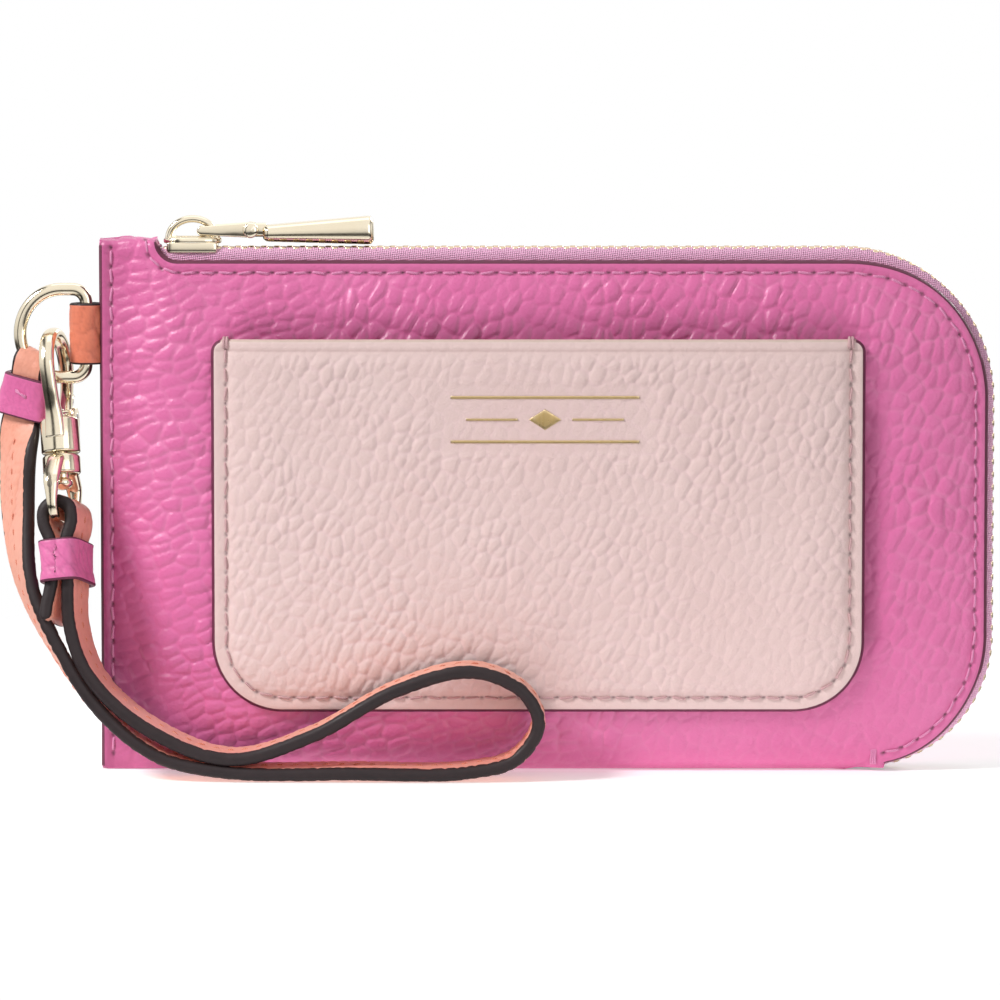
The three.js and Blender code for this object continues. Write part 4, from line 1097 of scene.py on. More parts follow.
def build_lining():
    """The lining inside front and back, and the slip pocket on its back wall."""
    left = TAB_HIGH[0] + 0.7
    rim = rim_line(LINING_INSET, left, 1.0)
    outline = resample(np.vstack([rim, [[left, 5.6]]]), 1.0, True)
    none = np.zeros(len(outline), bool)
    grid = hexagonal((LEFT, 0), (RIGHT, TOP), 1.6)

    def inside(side, depth):
        def surface(u, v):
            point = panel_surface(side)(u, v)
            point[..., 1] -= side * depth
            return point

        return surface

    def cloth_relief(u, v, edge):
        return 0.12 * waves(u, v, 9, 90), np.ones(len(u)), np.zeros(len(u))

    for name, side in (("lining_front", -1), ("lining_back", 1)):
        surface = inside(side, LINING_DEPTH)
        part = leather_sheet(outline, none, grid, surface, side, 0.35, cloth_relief, 2.0)
        piece = make_piece(name, [part], [LINING])
        if side < 0:
            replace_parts(crease_blend(piece), "front_mouth_lining", "lining_bag")
        else:
            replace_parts(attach(piece, "wallet"), "lining_bag")
    box = [SLIP_LOW[[0, 2]], [SLIP_HIGH[0], SLIP_LOW[2]], SLIP_HIGH[[0, 2]], [SLIP_LOW[0], SLIP_HIGH[2]]]
    outline = resample(box, 0.8, True)
    none = np.zeros(len(outline), bool)
    surface = inside(1, LINING_DEPTH + 0.9)
    part = leather_sheet(outline, none, grid, surface, 1, 0.5, cloth_relief, 2.0)
    hem_x = np.linspace(SLIP_LOW[0], SLIP_HIGH[0], 90)
    hem = surface(hem_x, np.full(90, SLIP_HIGH[2]))
    part_hem = rod(hem - [0, 0.25, 0], [0, 0, 1], round_section(0.9, 0.45, 12, 3))
    piece = make_piece("lining_slip_pocket", [part, part_hem], [LINING])
    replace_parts(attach(piece, "wallet"), "inner_slip_pocket")


# ------------------------------------------------------------------ zip

TOOTH_PITCH = 2.1
TOOTH_SIZE = (1.2, 2.3, 1.5)  # along the zip, across it, and in height


def zip_tape(side, start):
    """A strip of tape that stands up beside the teeth and is sewn under the leather."""
    outer = rim_line(0, start, 0.35)
    tangent = directions(outer)
    inward = np.stack([tangent[:, 1], -tangent[:, 0]], 1)
    section = [
        [1.6, 0.3],
        [2.1, 0.3],
        [2.6, 0.55],
        [2.9, 1.1],
        [3.0, 1.9],
        [3.0, 5.0],
        [2.6, 5.0],
        [2.55, 2.0],
        [1.6, 1.35],
    ]
    along = np.arange(len(outer)) * 0.35
    rings = []
    for number, (depth, inset) in enumerate(section):
        rough = 0.07 * np.sin(along * 2 * math.pi / 1.05 + 0.9 * number) * (number < 5)
        x = outer[:, 0] + inward[:, 0] * (inset + rough)
        z = outer[:, 1] + inward[:, 1] * (inset + rough)
        rings.append(np.stack([x, np.full(len(x), side * depth), z], 1))
    verts = np.stack(rings, 1)
    return verts.reshape(-1, 3), tube_faces(len(verts), len(section), False), {}


def tooth_shape():
    """One tooth: a rounded block with a raised head, in along, across and height."""
    long, wide, high = TOOTH_SIZE
    angle = np.arange(16) * math.pi / 8
    cos, sin = np.cos(angle), np.sin(angle)
    ring = np.stack([np.sign(cos) * np.abs(cos) ** 0.5 * long / 2, np.sign(sin) * np.abs(sin) ** 0.5 * wide / 2], 1)
    rows = []
    for share, scale in ((0, 0.72), (0.06, 0.9), (0.16, 1), (0.84, 1), (0.94, 0.9), (1, 0.72)):
        rows.append(np.column_stack([ring * scale, np.full(16, high * (share - 1))]))
    return np.vstack(rows), tube_faces(len(rows), 16, False)


def zip_teeth(side, start):
    path = rim_line(0, start, 0.1)
    tangent = directions(path)
    shape, faces = tooth_shape()
    step = int(TOOTH_PITCH / 0.1)
    shift = step // 2 if side > 0 else 0
    parts = []
    for i in range(4 + shift, len(path) - 4, step):
        (x, z), (dx, dz) = path[i], tangent[i]
        outward = np.array([-dz, dx])
        along, across, height = shape.T
        across = side * (0.2 + TOOTH_SIZE[1] / 2) + across
        height = height - TOOTH_MARGIN
        px = x + along * dx + height * outward[0]
        pz = z + along * dz + height * outward[1]
        parts.append((np.stack([px, across, pz], 1), faces, {}))
    return parts


def build_zip():
    for name, side in (("back", 1), ("front", -1)):
        tape = make_piece("tape_" + name, [zip_tape(side, ZIP_START)], [TAPE])
        teeth = make_piece("teeth_" + name, zip_teeth(side, ZIP_START + 0.8), [TOOTH_METAL])
        for piece, node, slot in (
            (tape, "zip_tape_" + name, "zip_tape"),
            (teeth, "zip_teeth_" + name, "pale_gold"),
        ):
            if side < 0:
                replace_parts(crease_blend(piece), node, node + "_start")
            else:
                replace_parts(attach(piece, "wallet"), node)


# ------------------------------------------------------------------ slider and pull


def side_plan(points, height):
    """Takes X-Z points and a height towards the front to space."""
    return np.stack([points[:, 0], np.full(len(points), -height), points[:, 1]], 1)


def ellipse(half_x, half_y, count=48, start=0.0, end=2 * math.pi):
    angle = np.linspace(start, end, count, endpoint=end - start < 6.28)
    return np.stack([half_x * np.cos(angle), half_y * np.sin(angle)], 1)


def build_slider():
    centre = (SLIDER_LOW + SLIDER_HIGH) / 2
    length = SLIDER_HIGH[0] - SLIDER_LOW[0]
    half_y = SLIDER_HIGH[1]
    x = centre[0]
    plate_low, plate_high = TOP + 0.35, TOP + 1.25
    middle = (plate_low + plate_high) / 2

    def flat(points, height):
        return np.stack([x + points[:, 0], points[:, 1], np.full(len(points), middle + height)], 1)

    parts = [slab(round_section(length / 2, half_y, 64, 2.6), flat, 0.45, 0.3)]
    for side in (-1, 1):
        along = np.linspace(-1, 1, 30)
        skirt = np.stack(
            [x + along * length * 0.42, side * (half_y - 0.3) * (1 - 0.1 * along**4), 0 * along + middle - 1.1], 1
        )
        parts.append(rod(skirt, [0, 0, 1], round_section(0.85, 0.28, 16, 3.5)))
    bow_half, bow_high = 4.5 - 0.6, 3.8 - 0.6
    angle = np.linspace(-0.12, math.pi + 0.12, 44)
    bow = np.stack([x + bow_half * np.cos(angle), 0 * angle, plate_high - 0.15 + bow_high * np.sin(angle)], 1)
    parts.append(rod(bow, [0, 1, 0], round_section(1.1, 0.6, 20, 3)))
    foot = np.stack([x + np.linspace(-4.2, 4.2, 24), np.zeros(24), np.full(24, plate_high + 0.02)], 1)
    parts.append(rod(foot, [0, 1, 0], round_section(1.1, 0.3, 16, 3)))
    piece = make_piece("slider_body", parts, [GOLD])
    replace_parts(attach(piece, "slider"), "zip_slider")


PULL_ARM = (1.45, 2.25)  # inner and outer depth of the link's arms


def build_pull():
    eye, rivet = joint_at("pull_swing"), joint_at("pull_bar_swing")
    run = (rivet - eye)[[0, 2]]
    length = np.linalg.norm(run)
    along = run / length
    across = np.array([-along[1], along[0]])
    quarter = math.pi / 2
    outline = np.vstack([arc(0, 0, 0.75, quarter, 3 * quarter, 0.2), arc(length, 0, 1.2, -quarter, quarter, 0.2)])
    outline = resample(outline, 0.25, True)
    world = eye[[0, 2]] + outline[:, :1] * along + outline[:, 1:] * across
    middle, half = sum(PULL_ARM) / 2, (PULL_ARM[1] - PULL_ARM[0]) / 2
    parts = [
        slab(world, lambda points, height, side=side: side_plan(points, side * middle + height), half, 0.25)
        for side in (-1, 1)
    ]
    parts.append(lathe(eye, [0, 1, 0], rounded_profile(-1.8, 1.8, 0.5, 0.1)))
    link = make_piece("link_shackle", parts, [GOLD])
    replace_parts(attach(link, "link"), "pull_link")
    heads = [lathe(rivet, [0, 1, 0], rounded_profile(-2.6, 2.6, 0.5, 0.1))]
    for side in (-1, 1):
        dome = [[0.02, 2.5], [1.25, 2.5], [1.25, 2.65], [1.1, 2.88], [0.7, 3.0], [0.02, 3.04]]
        heads.append(lathe(rivet, [0, side, 0], dome))
    pin = make_piece("link_rivet", heads, [GOLD])
    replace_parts(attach(pin, "link"), "pull_rivet")

    start, end = rivet[0] + 2.0, BAR_HIGH[0]
    share = np.linspace(0, 1, 40)
    base = TOP + 0.1
    half_high = (2.7 + 2.1 * share) / 2
    path = np.stack([start + (end - start) * share, 0 * share, base + 0.5 * (1 - share) + half_high], 1)
    ease = np.minimum(np.minimum(share * 20, (1 - share) * 20), 1)
    shrink = 1 - 0.3 * (1 - np.sqrt(1 - (1 - ease) ** 2))
    section = round_section(1, 1, 40, 2.7)[None] * np.stack([2.5 * shrink, half_high * shrink], 1)[:, None]
    grip = rod(path, [0, 1, 0], section)
    tang = np.stack([np.linspace(rivet[0], start + 0.6, 12), np.zeros(12), np.full(12, rivet[2])], 1)
    neck = rod(tang, [0, 1, 0], round_section(1.1, 1.15, 20, 4))
    knuckle = lathe(rivet, [0, 1, 0], rounded_profile(-1.12, 1.12, 1.2, 0.15))
    bar = make_piece("puller_grip", [grip, neck, knuckle], [GOLD])
    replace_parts(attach(bar, "pull"), "pull_bar")


# ------------------------------------------------------------------ side tab and ring

RING_WIRE = RING_HIGH[1]
RING_BAR_X = RING_HIGH[0] - RING_WIRE
RING_LEFT = RING_LOW[0] + RING_WIRE
RING_Z = (RING_LOW[2] + RING_HIGH[2]) / 2
RING_HALF = (RING_HIGH[2] - RING_LOW[2]) / 2 - RING_WIRE
RING_BOW_X = -79.4
RING_CORNER = 2.2


def build_ring():
    quarter = math.pi / 2
    bow = np.linspace(quarter, 3 * quarter, 70)
    inner = RING_HALF - RING_CORNER
    outline = np.vstack(
        [
            [[RING_BAR_X, RING_Z - inner]],
            arc(RING_BAR_X - RING_CORNER, RING_Z + inner, RING_CORNER, 0, quarter, 0.2),
            np.stack([RING_BOW_X + (RING_BOW_X - RING_LEFT) * np.cos(bow), RING_Z + RING_HALF * np.sin(bow)], 1),
            arc(RING_BAR_X - RING_CORNER, RING_Z - inner, RING_CORNER, -quarter, 0, 0.2),
        ]
    )
    line = resample(outline, 0.35, True)
    path = np.stack([line[:, 0], 0 * line[:, 0], line[:, 1]], 1)
    part = rod(path, [0, 1, 0], round_section(RING_WIRE, RING_WIRE, 28, 2.3), True)
    piece = make_piece("ring_wire", [part], [GOLD])
    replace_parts(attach(piece, "ring"), "d_ring")


def build_tab():
    ply = 0.9
    loop = (TAB_HIGH[1] - TAB_LOW[1]) / 2 - ply / 2
    centre = TAB_LOW[0] + loop + ply / 2
    neck, tail, rest = LEFT - 0.2, TAB_HIGH[0], 0.6
    mouth = 0.35 * math.pi
    bend = arc(centre, 0, loop, -mouth, -2 * math.pi + mouth, 0.3)
    line = np.vstack([[[tail, -rest], [neck + 0.8, -rest]], bend, [[neck + 0.8, rest], [tail, rest]]])
    line = resample(line, 0.3)
    for _ in range(4):
        line[1:-1] = (line[:-2] + 2 * line[1:-1] + line[2:]) / 4
    middle = (TAB_LOW[2] + TAB_HIGH[2]) / 2
    path = np.stack([line[:, 0], line[:, 1], np.full(len(line), middle)], 1)
    part = band(path, [0, 0, 1], TAB_HIGH[2] - TAB_LOW[2], ply, 31, depth=0.16, columns=26)
    piece = make_piece("tab_leather", [part], [CORAL, BROWN_EDGE])
    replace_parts(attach(piece, "wallet"), "side_tab")


# ------------------------------------------------------------------ wrist strap

STRAP_WIDTH = 9.5
STRAP_THICK = 2.1
LAYER = 1.25
EYE_LOOP = 2.5
TONGUE_FOOT = np.array([-85.8, 0.9, 57.9])
TONGUE_PLY = 1.3
TONGUE_WIDTH = 6.0


def beside_eye(offset, rise):
    return [*(EYE_BAR + HOOK_SIDE * offset + HOOK_UP * rise), *HOOK_FRONT, STRAP_WIDTH, STRAP_THICK]


def station(x, y, z, degrees):
    turn = math.radians(degrees)
    return [x, y, z, -math.sin(turn), -math.cos(turn), 0, STRAP_WIDTH, STRAP_THICK]


def ring_loop():
    """Stations of the strap's other end, which goes round the ring's wire and back."""
    bend = math.radians(226)
    wire = np.array(
        [RING_BOW_X + (RING_BOW_X - RING_LEFT) * math.cos(bend), 0, RING_Z + RING_HALF * math.sin(bend)]
    )
    up = unit(wire - TONGUE_FOOT)
    along_wire = unit(np.array([0.70, 0, -0.72]))
    at_keeper = unit(np.array([0.94, -0.34, 0]))
    front = unit(np.cross(at_keeper, up))
    front = front if front[1] < 0 else -front
    radius = RING_WIRE + 0.3 + TONGUE_PLY / 2

    def row(point, across, width=TONGUE_WIDTH):
        return [*point, *across, width, TONGUE_PLY]

    leaning = unit(at_keeper + along_wire)
    rows = [
        row(TONGUE_FOOT + 0.72 * front + 0.3 * up, at_keeper, 6.4),
        row(TONGUE_FOOT + 0.75 * front + 4.2 * up, at_keeper),
    ]
    for degrees in (-20, 25, 90, 155, 200):
        angle = math.radians(degrees)
        rows.append(row(wire + radius * (math.cos(angle) * front + math.sin(angle) * up), leaning, 5.4))
    rows.append(row(TONGUE_FOOT - 0.75 * front + 4.2 * up, at_keeper))
    rows.append(row(TONGUE_FOOT - 0.75 * front - 0.9 * up, at_keeper))
    return rows, up, at_keeper


def strap_stations():
    around = [
        beside_eye(EYE_LOOP * math.cos(math.radians(a)), EYE_LOOP * math.sin(math.radians(a)))
        for a in (200, 145, 90, 35, -20)
    ]
    return [
        beside_eye(-3.0, -16.8),
        beside_eye(-2.5, -14.2),
        beside_eye(-1.5, -10.6),
        beside_eye(-LAYER, -4.4),
        *around,
        beside_eye(LAYER, -4.4),
        beside_eye(LAYER, -10),
        station(-76.6, -10.1, 24.9, 12),
        station(-73.8, -12, 17.0, 8),
        station(-65.4, -13.9, 9.0, 5),
        station(-51.6, -14.8, 3.6, 3),
        station(-38.4, -15, 7.2, 2),
        station(-24.1, -15.2, 14.9, 1),
        station(-12.4, -15.2, 17.8, 0),
        station(-4, -15, 14.4, 0),
        station(-1.6, -15, 9.2, 0),
        station(-5.2, -15, 3.6, 0),
        station(-13, -15, 1.45, 0),
        station(-32, -15, 1.3, 0),
        station(-51.5, -14.6, 1.45, 0),
        station(-63.4, -13.6, 4, -2),
        station(-73, -12.2, 11.4, -6),
        station(-79.8, -9.8, 20.8, -12),
        station(-84.8, -6.2, 31, -17),
        station(-86.5, -2.2, 43, -30),
        station(-86.5, -0.2, 52.4, -36),
    ]


def build_strap():
    loop, up, across = ring_loop()
    line = through(strap_stations() + loop, 24)
    line = resample(line, 0.5)
    path, widths = line[:, :3], unit(line[:, 3:6])
    tip = np.clip(np.arange(len(line)) * 0.5 / 1.4, 0, 1)
    line[:, 7] *= 0.25 + 0.75 * np.sqrt(1 - (1 - tip) ** 2)
    part = band(path, widths, line[:, 6], line[:, 7], 51, depth=0.16, columns=20)
    # A row of stitches runs down the middle of the outer face.
    tangent = directions(path)
    face = np.cross(tangent, unit(widths - np.sum(widths * tangent, 1, keepdims=True) * tangent))
    sewn = []
    step = 5
    for i in range(14, len(path) - 60, step):
        for side in (-1, 1):
            span = slice(i, i + 4)
            lift = np.array([-0.25, 0.06, 0.06, -0.25])[:, None] + line[span, 7:8] / 2
            sewn.append(rod(path[span] + side * face[span] * lift, widths[i], round_section(0.15, 0.15, 8)))
    strap = make_piece("strap_leather", [part], [CORAL_PAINTED_LIT, BROWN_EDGE])
    stitches = make_piece("strap_stitches", sewn, [CORAL_THREAD])
    for piece in (strap, stitches):
        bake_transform(piece)
        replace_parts(piece, "wrist_strap", "strap_ring_end")
    across = unit(across - (across @ up) * up)
    build_keeper("keeper_band_upper", TONGUE_FOOT + 3.2 * up, up, across, 6.9, 1.9, 3.5, "keeper_upper", "ring", 0.2)
    middle = EYE_BAR - 7.3 * HOOK_UP
    build_keeper("keeper_band_lower", middle, HOOK_UP, HOOK_FRONT, 6.9, 2.7, 5.1, "keeper_lower", "strap", 0.4)


KEEPER_PLY = 0.9


def build_keeper(name, centre, up, across, height, half_face, half_across, node, body, waist):
    """A closed leather band round two layers of strap, with a cross stitch on the upper one."""
    face = unit(np.cross(up, across))
    face = face if face[1] < 0 or abs(face[1]) < 0.3 else -face
    grow = KEEPER_PLY / 2
    outline = round_section(half_across + grow, half_face + grow, 120, 5)
    line = resample(outline, 0.3, True)
    path = centre + line[:, :1] * across + line[:, 1:] * face
    path = np.roll(path, -np.argmax(path[:, 1]), axis=0)  # its ends meet at the back
    verts, faces, options = band(path, up, height, KEEPER_PLY, 61, True, 0.12, 16)
    rise = (verts - centre) @ up / (height / 2)
    middle = (verts - centre) @ face
    verts = verts - (np.sign(middle) * waist * (1 - rise**2))[:, None] * face
    sideways = (verts - centre) @ across
    if body == "ring":
        verts = verts - (0.09 * sideways * rise)[:, None] * across
    parts = [(verts, faces, options)]
    if body == "ring":
        front = centre + face * (half_face + KEEPER_PLY + 0.02)
        share = np.linspace(-1, 1, 9)
        for lean in (-0.45, -0.25):
            spot = front + 0.6 * up + share[:, None] * (across * 1.0 + up * lean)
            spot = spot - (0.3 * share**4)[:, None] * face
            parts.append(rod(spot, up, round_section(0.19, 0.19, 8), material=2))
    piece = make_piece(name, parts, [ORCHID, PLUM_EDGE, PINK_THREAD])
    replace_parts(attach(piece, body), node)


# ------------------------------------------------------------------ swivel hook

BARREL_TOP, BARREL_LOW, BARREL_RADIUS = -7.3, -12.7, 3.2
COLLAR_TOP, COLLAR_LOW = BARREL_LOW - 0.3, BARREL_LOW - 3.5
PIVOT = (3.3, -6.1)
CLAW_HALF, CLAW_TOP, CLAW_WIDEST, CLAW_TIP = 5.2, 7.25, 1.5, 1.2


def hook_place(points, height=0.0):
    """From the hook's own back, up and left to space."""
    points = np.asarray(points, float)
    return (
        HOOK_AT
        - points[..., :1] * HOOK_FRONT
        + points[..., 1:2] * HOOK_UP
        - np.asarray(height)[..., None] * HOOK_SIDE
    )


def build_hook():
    arm = [[-2.1, -10.2], [-2.3, -8.6], [-3.0, -5.6], [-4.2, -2.2]]
    claw = ellipse(1, 1, 25, math.pi, 0) * [CLAW_HALF, CLAW_TOP - CLAW_WIDEST] + [0, CLAW_WIDEST]
    line = np.vstack([arm, claw, [[CLAW_HALF, CLAW_TIP]]])
    line = through(np.column_stack([line, np.zeros(len(line))]), 6)[:, :2]
    line = resample(line, 0.3)
    path = hook_place(line)
    share = np.linspace(0, 1, len(path))
    half_wide = 1.25 + 0.5 * smooth01((0.22 - share) / 0.22)
    half_thick = 0.95 + 0.35 * smooth01((0.15 - share) / 0.15)
    section = round_section(1, 1, 28, 2.4)[None] * np.stack([half_wide, half_thick], 1)[:, None]
    parts = [rod(path, HOOK_SIDE, section)]
    profile = rounded_profile(BARREL_LOW, BARREL_TOP + 0.35, BARREL_RADIUS, 0.45, 6)
    profile[-1] = [0.05, BARREL_TOP + 0.75]
    parts.append(lathe(HOOK_AT, HOOK_UP, profile, 48))
    for side in (-1, 1):
        ear = round_section(1.35, 1.9, 32, 2.6) + [PIVOT[0] - 0.25, PIVOT[1] - 0.5]
        place = lambda points, height, side=side: hook_place(points, np.full(len(points), side * 1.78 + height))
        parts.append(slab(ear, place, 0.33, 0.15))
    body = make_piece("hook_claw", parts, [GOLD])
    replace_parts(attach(body, "hook"), "hook_body")

    gate_line = through([[*PIVOT, 0], [4.1, -3.6, 0], [4.9, -1.2, 0], [5.2, 0.5, 0]], 10)[:, :2]
    gate_path = hook_place(gate_line)
    knuckle = lathe(hook_place(np.array(PIVOT)), HOOK_SIDE, rounded_profile(-1.1, 1.1, 1.15, 0.15))
    thumb = hook_place(np.array([[4.6, -3.9], [5.1, -3.0], [5.6, -2.2]]))
    gate = make_piece(
        "hook_gate_lever",
        [
            rod(gate_path, HOOK_SIDE, round_section(1.05, 0.8, 24, 3)),
            rod(thumb, HOOK_SIDE, round_section(1.0, 0.5, 16, 3)),
            knuckle,
        ],
        [GOLD],
    )
    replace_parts(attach(gate, "gate"), "hook_gate")

    pin = lathe(hook_place(np.array(PIVOT)), HOOK_SIDE, rounded_profile(-2.2, 2.2, 0.5, 0.15))
    pin = make_piece("hook_gate_pin", [pin], [STEEL])
    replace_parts(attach(pin, "hook"), "gate_pin")
    turn = np.linspace(0, 6 * math.pi, 90)
    coil = np.stack([0.2 + 0.6 * np.cos(turn), BARREL_TOP + 0.6 + turn / 6 / math.pi * 1.4], 1)
    coil = hook_place(coil, 0.6 * np.sin(turn))
    spring = make_piece("hook_gate_spring", [rod(coil, HOOK_UP, round_section(0.14, 0.14, 8))], [STEEL])
    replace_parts(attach(spring, "hook"), "gate_spring")

    drop, half, corner, high = EYE_DROP, STRAP_WIDTH / 2 + 1.4, 2.0, COLLAR_TOP - 0.8
    quarter = math.pi / 2
    frame_line = np.vstack(
        [
            [[-half + 3.4, high], [-half, high - 4]],
            arc(-half + corner, -drop + corner, corner, 2 * quarter, 3 * quarter, 0.3),
            arc(half - corner, -drop + corner, corner, -quarter, 0, 0.3),
            [[half, high - 4], [half - 3.4, high]],
        ]
    )
    frame_line = resample(frame_line, 0.3, True)
    for _ in range(6):
        frame_line = (np.roll(frame_line, 1, 0) + 2 * frame_line + np.roll(frame_line, -1, 0)) / 4
    rise = (frame_line[:, 1] + drop) / (high + drop)
    half_wide = 0.8 + 0.6 * smooth01((rise - 0.1) / 0.7)
    section = round_section(1, 1, 24, 3)[None] * np.stack([half_wide, np.full(len(rise), 0.8)], 1)[:, None]
    parts = [rod(hook_place(frame_line), HOOK_SIDE, section, True)]
    parts.append(lathe(HOOK_AT, HOOK_UP, rounded_profile(COLLAR_LOW, COLLAR_TOP, 3.1, 0.5, 6), 48))
    drop_shape = np.array([[0.02, 2.3], [-0.34, 0.6], [-0.42, -0.1], [0, -0.6], [0.42, -0.1], [0.34, 0.6]])
    slot_up = high - 5.0

    def slot_place(points, height):
        base = HOOK_AT - (-half - 0.78 - height) * HOOK_FRONT + slot_up * HOOK_UP
        return base + points[:, :1] * HOOK_SIDE + points[:, 1:] * HOOK_UP

    # A thin dark plate stands in for the slot: painted shade.
    parts.append(slab(resample(drop_shape, 0.2, True), slot_place, 0.08, 0.03, 2, material=1))
    eye = make_piece("swivel_loop", parts, [GOLD, SLOT_SHADE])
    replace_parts(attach(eye, "strap"), "swivel_eye")
    middle = COLLAR_LOW - 0.3 - 1.1
    angle = np.linspace(-quarter, quarter, 14)
    dome = np.stack([np.maximum(1.7 * np.cos(angle), 0.02), middle + 1.1 * np.sin(angle)], 1)
    stem = rounded_profile(middle, BARREL_LOW + 1.0, 1.1, 0.1)
    rivet = make_piece("swivel_rivet_dome", [lathe(HOOK_AT, HOOK_UP, dome), lathe(HOOK_AT, HOOK_UP, stem)], [GOLD])
    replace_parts(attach(rivet, "strap"), "swivel_rivet")


# ------------------------------------------------------------------ carried-over CAD nodes


def dress_stops():
    """The zip's two stops keep their CAD shape, with rounded edges."""
    for name in ("zip_stop_start", "zip_stop_end"):
        node = frame["nodes"][name]
        node.data.materials.clear()
        node.data.materials.append(GOLD)
        weld = node.modifiers.new("weld", "WELD")
        weld.merge_threshold = 0.00001
        bevel = node.modifiers.new("bevel", "BEVEL")
        bevel.width = 0.00025
        bevel.segments = 3


# ------------------------------------------------------------------ stage, light and camera


def world_light():
    """A white studio that metal sees as bright walls with dark flags at both sides and low in front."""
    world = bpy.data.worlds.new("studio")
    bpy.context.scene.world = world
    world.use_nodes = True
    tree = world.node_tree
    tree.nodes.clear()

    def node(kind, **named):
        made = tree.nodes.new(kind)
        for key, value in named.items():
            setattr(made, key, value)
        return made

    out = node("ShaderNodeOutputWorld")
    place = node("ShaderNodeTexCoord")
    split = node("ShaderNodeSeparateXYZ")
    tree.links.new(place.outputs["Generated"], split.inputs[0])

    def bands(axis, levels):
        share = node("ShaderNodeMath", operation="MULTIPLY_ADD")
        share.inputs[1].default_value = 0.5
        share.inputs[2].default_value = 0.5
        tree.links.new(split.outputs[axis], share.inputs[0])
        ramp_node = node("ShaderNodeValToRGB")
        ramp_node.color_ramp.interpolation = "EASE"
        stops = ramp_node.color_ramp.elements
        for position, level in levels[1:-1]:
            stops.new(position).color = (level, level, level, 1)
        stops[0].color = (levels[0][1],) * 3 + (1,)
        stops[-1].color = (levels[-1][1],) * 3 + (1,)
        tree.links.new(share.outputs[0], ramp_node.inputs[0])
        return ramp_node.outputs[0]

    sides = bands("X", [(0, 0.9), (0.16, 0.9), (0.2, 0.1), (0.27, 0.1), (0.32, 1), (0.84, 1), (0.9, 0.3), (1, 0.9)])
    rise = bands("Z", [(0, 0.9), (0.24, 0.85), (0.29, 0.08), (0.39, 0.06), (0.45, 0.9), (0.6, 1.1), (1, 1.1)])
    product = node("ShaderNodeMath", operation="MULTIPLY")
    tree.links.new(sides, product.inputs[0])
    tree.links.new(rise, product.inputs[1])

    def background(strength):
        made = node("ShaderNodeBackground")
        made.inputs["Color"].default_value = (1, 1, 1, 1)
        made.inputs["Strength"].default_value = strength
        return made

    even, shiny, soft = background(1.0), background(1.0), background(AMBIENT)
    tree.links.new(product.outputs[0], shiny.inputs["Strength"])
    ray = node("ShaderNodeLightPath")
    glossy = node("ShaderNodeMixShader")
    tree.links.new(ray.outputs["Is Glossy Ray"], glossy.inputs[0])
    tree.links.new(soft.outputs[0], glossy.inputs[1])
    tree.links.new(shiny.outputs[0], glossy.inputs[2])
    seen = node("ShaderNodeMixShader")
    tree.links.new(ray.outputs["Is Camera Ray"], seen.inputs[0])
    tree.links.new(glossy.outputs[0], seen.inputs[1])
    tree.links.new(even.outputs[0], seen.inputs[2])
    tree.links.new(seen.outputs[0], out.inputs[0])


AMBIENT = 0.24


def area_light(name, place, target, size, power):
    light = bpy.data.lights.new(name, "AREA")
    light.shape = "RECTANGLE"
    light.size, light.size_y = size
    light.energy = power
    lamp = bpy.data.objects.new(name, light)
    bpy.context.scene.collection.objects.link(lamp)
    lamp.location = place
    lamp.rotation_euler = (Vector(target) - Vector(place)).to_track_quat("-Z", "Y").to_euler()


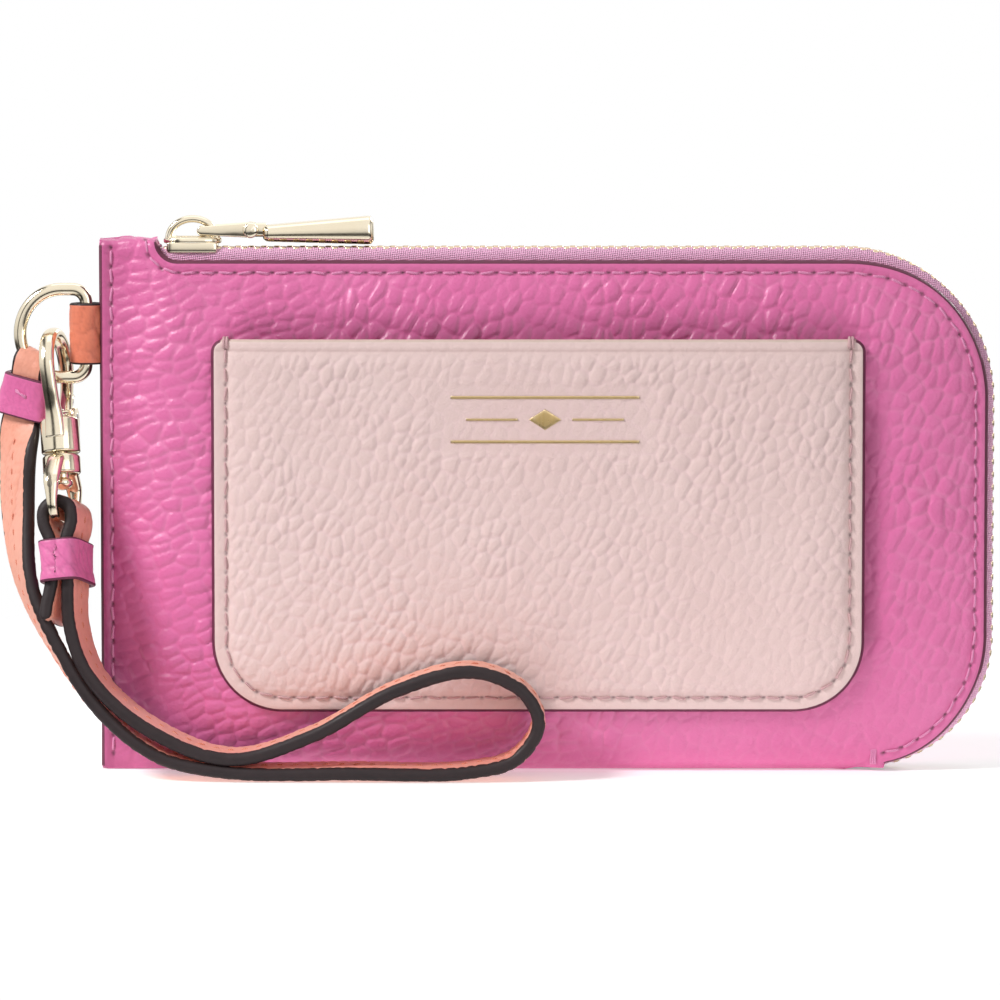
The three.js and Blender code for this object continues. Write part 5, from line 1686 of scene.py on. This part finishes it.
def build_stage():
    middle = [0, 0, 0.045]
    area_light("key", (-0.6, -0.32, 0.6), middle, (0.2, 0.2), 6.2)
    area_light("fill", (0.5, -0.7, 0.2), middle, (0.5, 0.5), 1.1)
    area_light("top", (0, 0.15, 0.8), middle, (0.6, 0.5), 0.6)
    area_light("back", (0.5, 0.8, 0.45), middle, (0.3, 0.3), 4.5)
    floor = bpy.data.meshes.new("floor")
    reach, steps = 1.5, 24
    side = np.linspace(-reach, reach, steps)
    x, y = np.meshgrid(side, side)
    verts = np.stack([x.ravel(), y.ravel(), np.full(x.size, -0.0001)], 1)
    faces = []
    for i in range(steps - 1):
        for j in range(steps - 1):
            a = i * steps + j
            faces.append([a, a + 1, a + steps + 1, a + steps])
    floor.from_pydata(verts.tolist(), [], faces)
    s = Shader("pale_floor")
    s.set(Base_Color=s.mix(s.noise(0.01), linear(250, 250, 250), linear(246, 246, 246)), Roughness=0.75)
    s.set(Emission_Color=(1, 1, 1, 1), Emission_Strength=0.32)
    # The floor fades into the white backdrop away from the wallet.
    away = s.add("ShaderNodeVectorMath", s.place, operation="LENGTH")
    away = s.tree.nodes[-1].outputs["Value"]
    glossy = s.add("ShaderNodeLightPath")
    glossy = s.tree.nodes[-1].outputs["Is Glossy Ray"]
    away = s.math("MULTIPLY", away, s.math("MULTIPLY_ADD", glossy, 0.8, 1.0))
    fade = s.math("MULTIPLY_ADD", away, 1 / 150, -110 / 150, clamp=True)
    clear = s.tree.nodes.new("ShaderNodeBsdfTransparent").outputs[0]
    mixed = s.add("ShaderNodeMixShader", fade, s.surface.outputs[0], clear)
    s.tree.links.new(mixed, s.tree.nodes["Material Output"].inputs["Surface"])
    floor.materials.append(s.material)
    ground = bpy.data.objects.new("floor", floor)
    bpy.context.scene.collection.objects.link(ground)


def build_camera():
    data = bpy.data.cameras.new("camera")
    camera = bpy.data.objects.new("camera", data)
    bpy.context.scene.collection.objects.link(camera)
    bpy.context.scene.camera = camera
    target = Vector((-0.0078, -0.0072, 0.0446))
    rise = math.radians(5)
    distance = 1.0
    camera.location = target + distance * Vector((0, -math.cos(rise), math.sin(rise)))
    camera.rotation_euler = (target - camera.location).to_track_quat("-Z", "Y").to_euler()
    data.sensor_width = 36
    data.lens = 36 / 0.1625 * distance
    data.clip_end = 10
    bpy.context.scene.view_settings.view_transform = "Standard"


build_panels()
build_side_seam()
build_pocket()
build_lining()
build_zip()
build_slider()
build_pull()
build_ring()
build_tab()
build_strap()
build_hook()
dress_stops()
world_light()
build_stage()
build_camera()
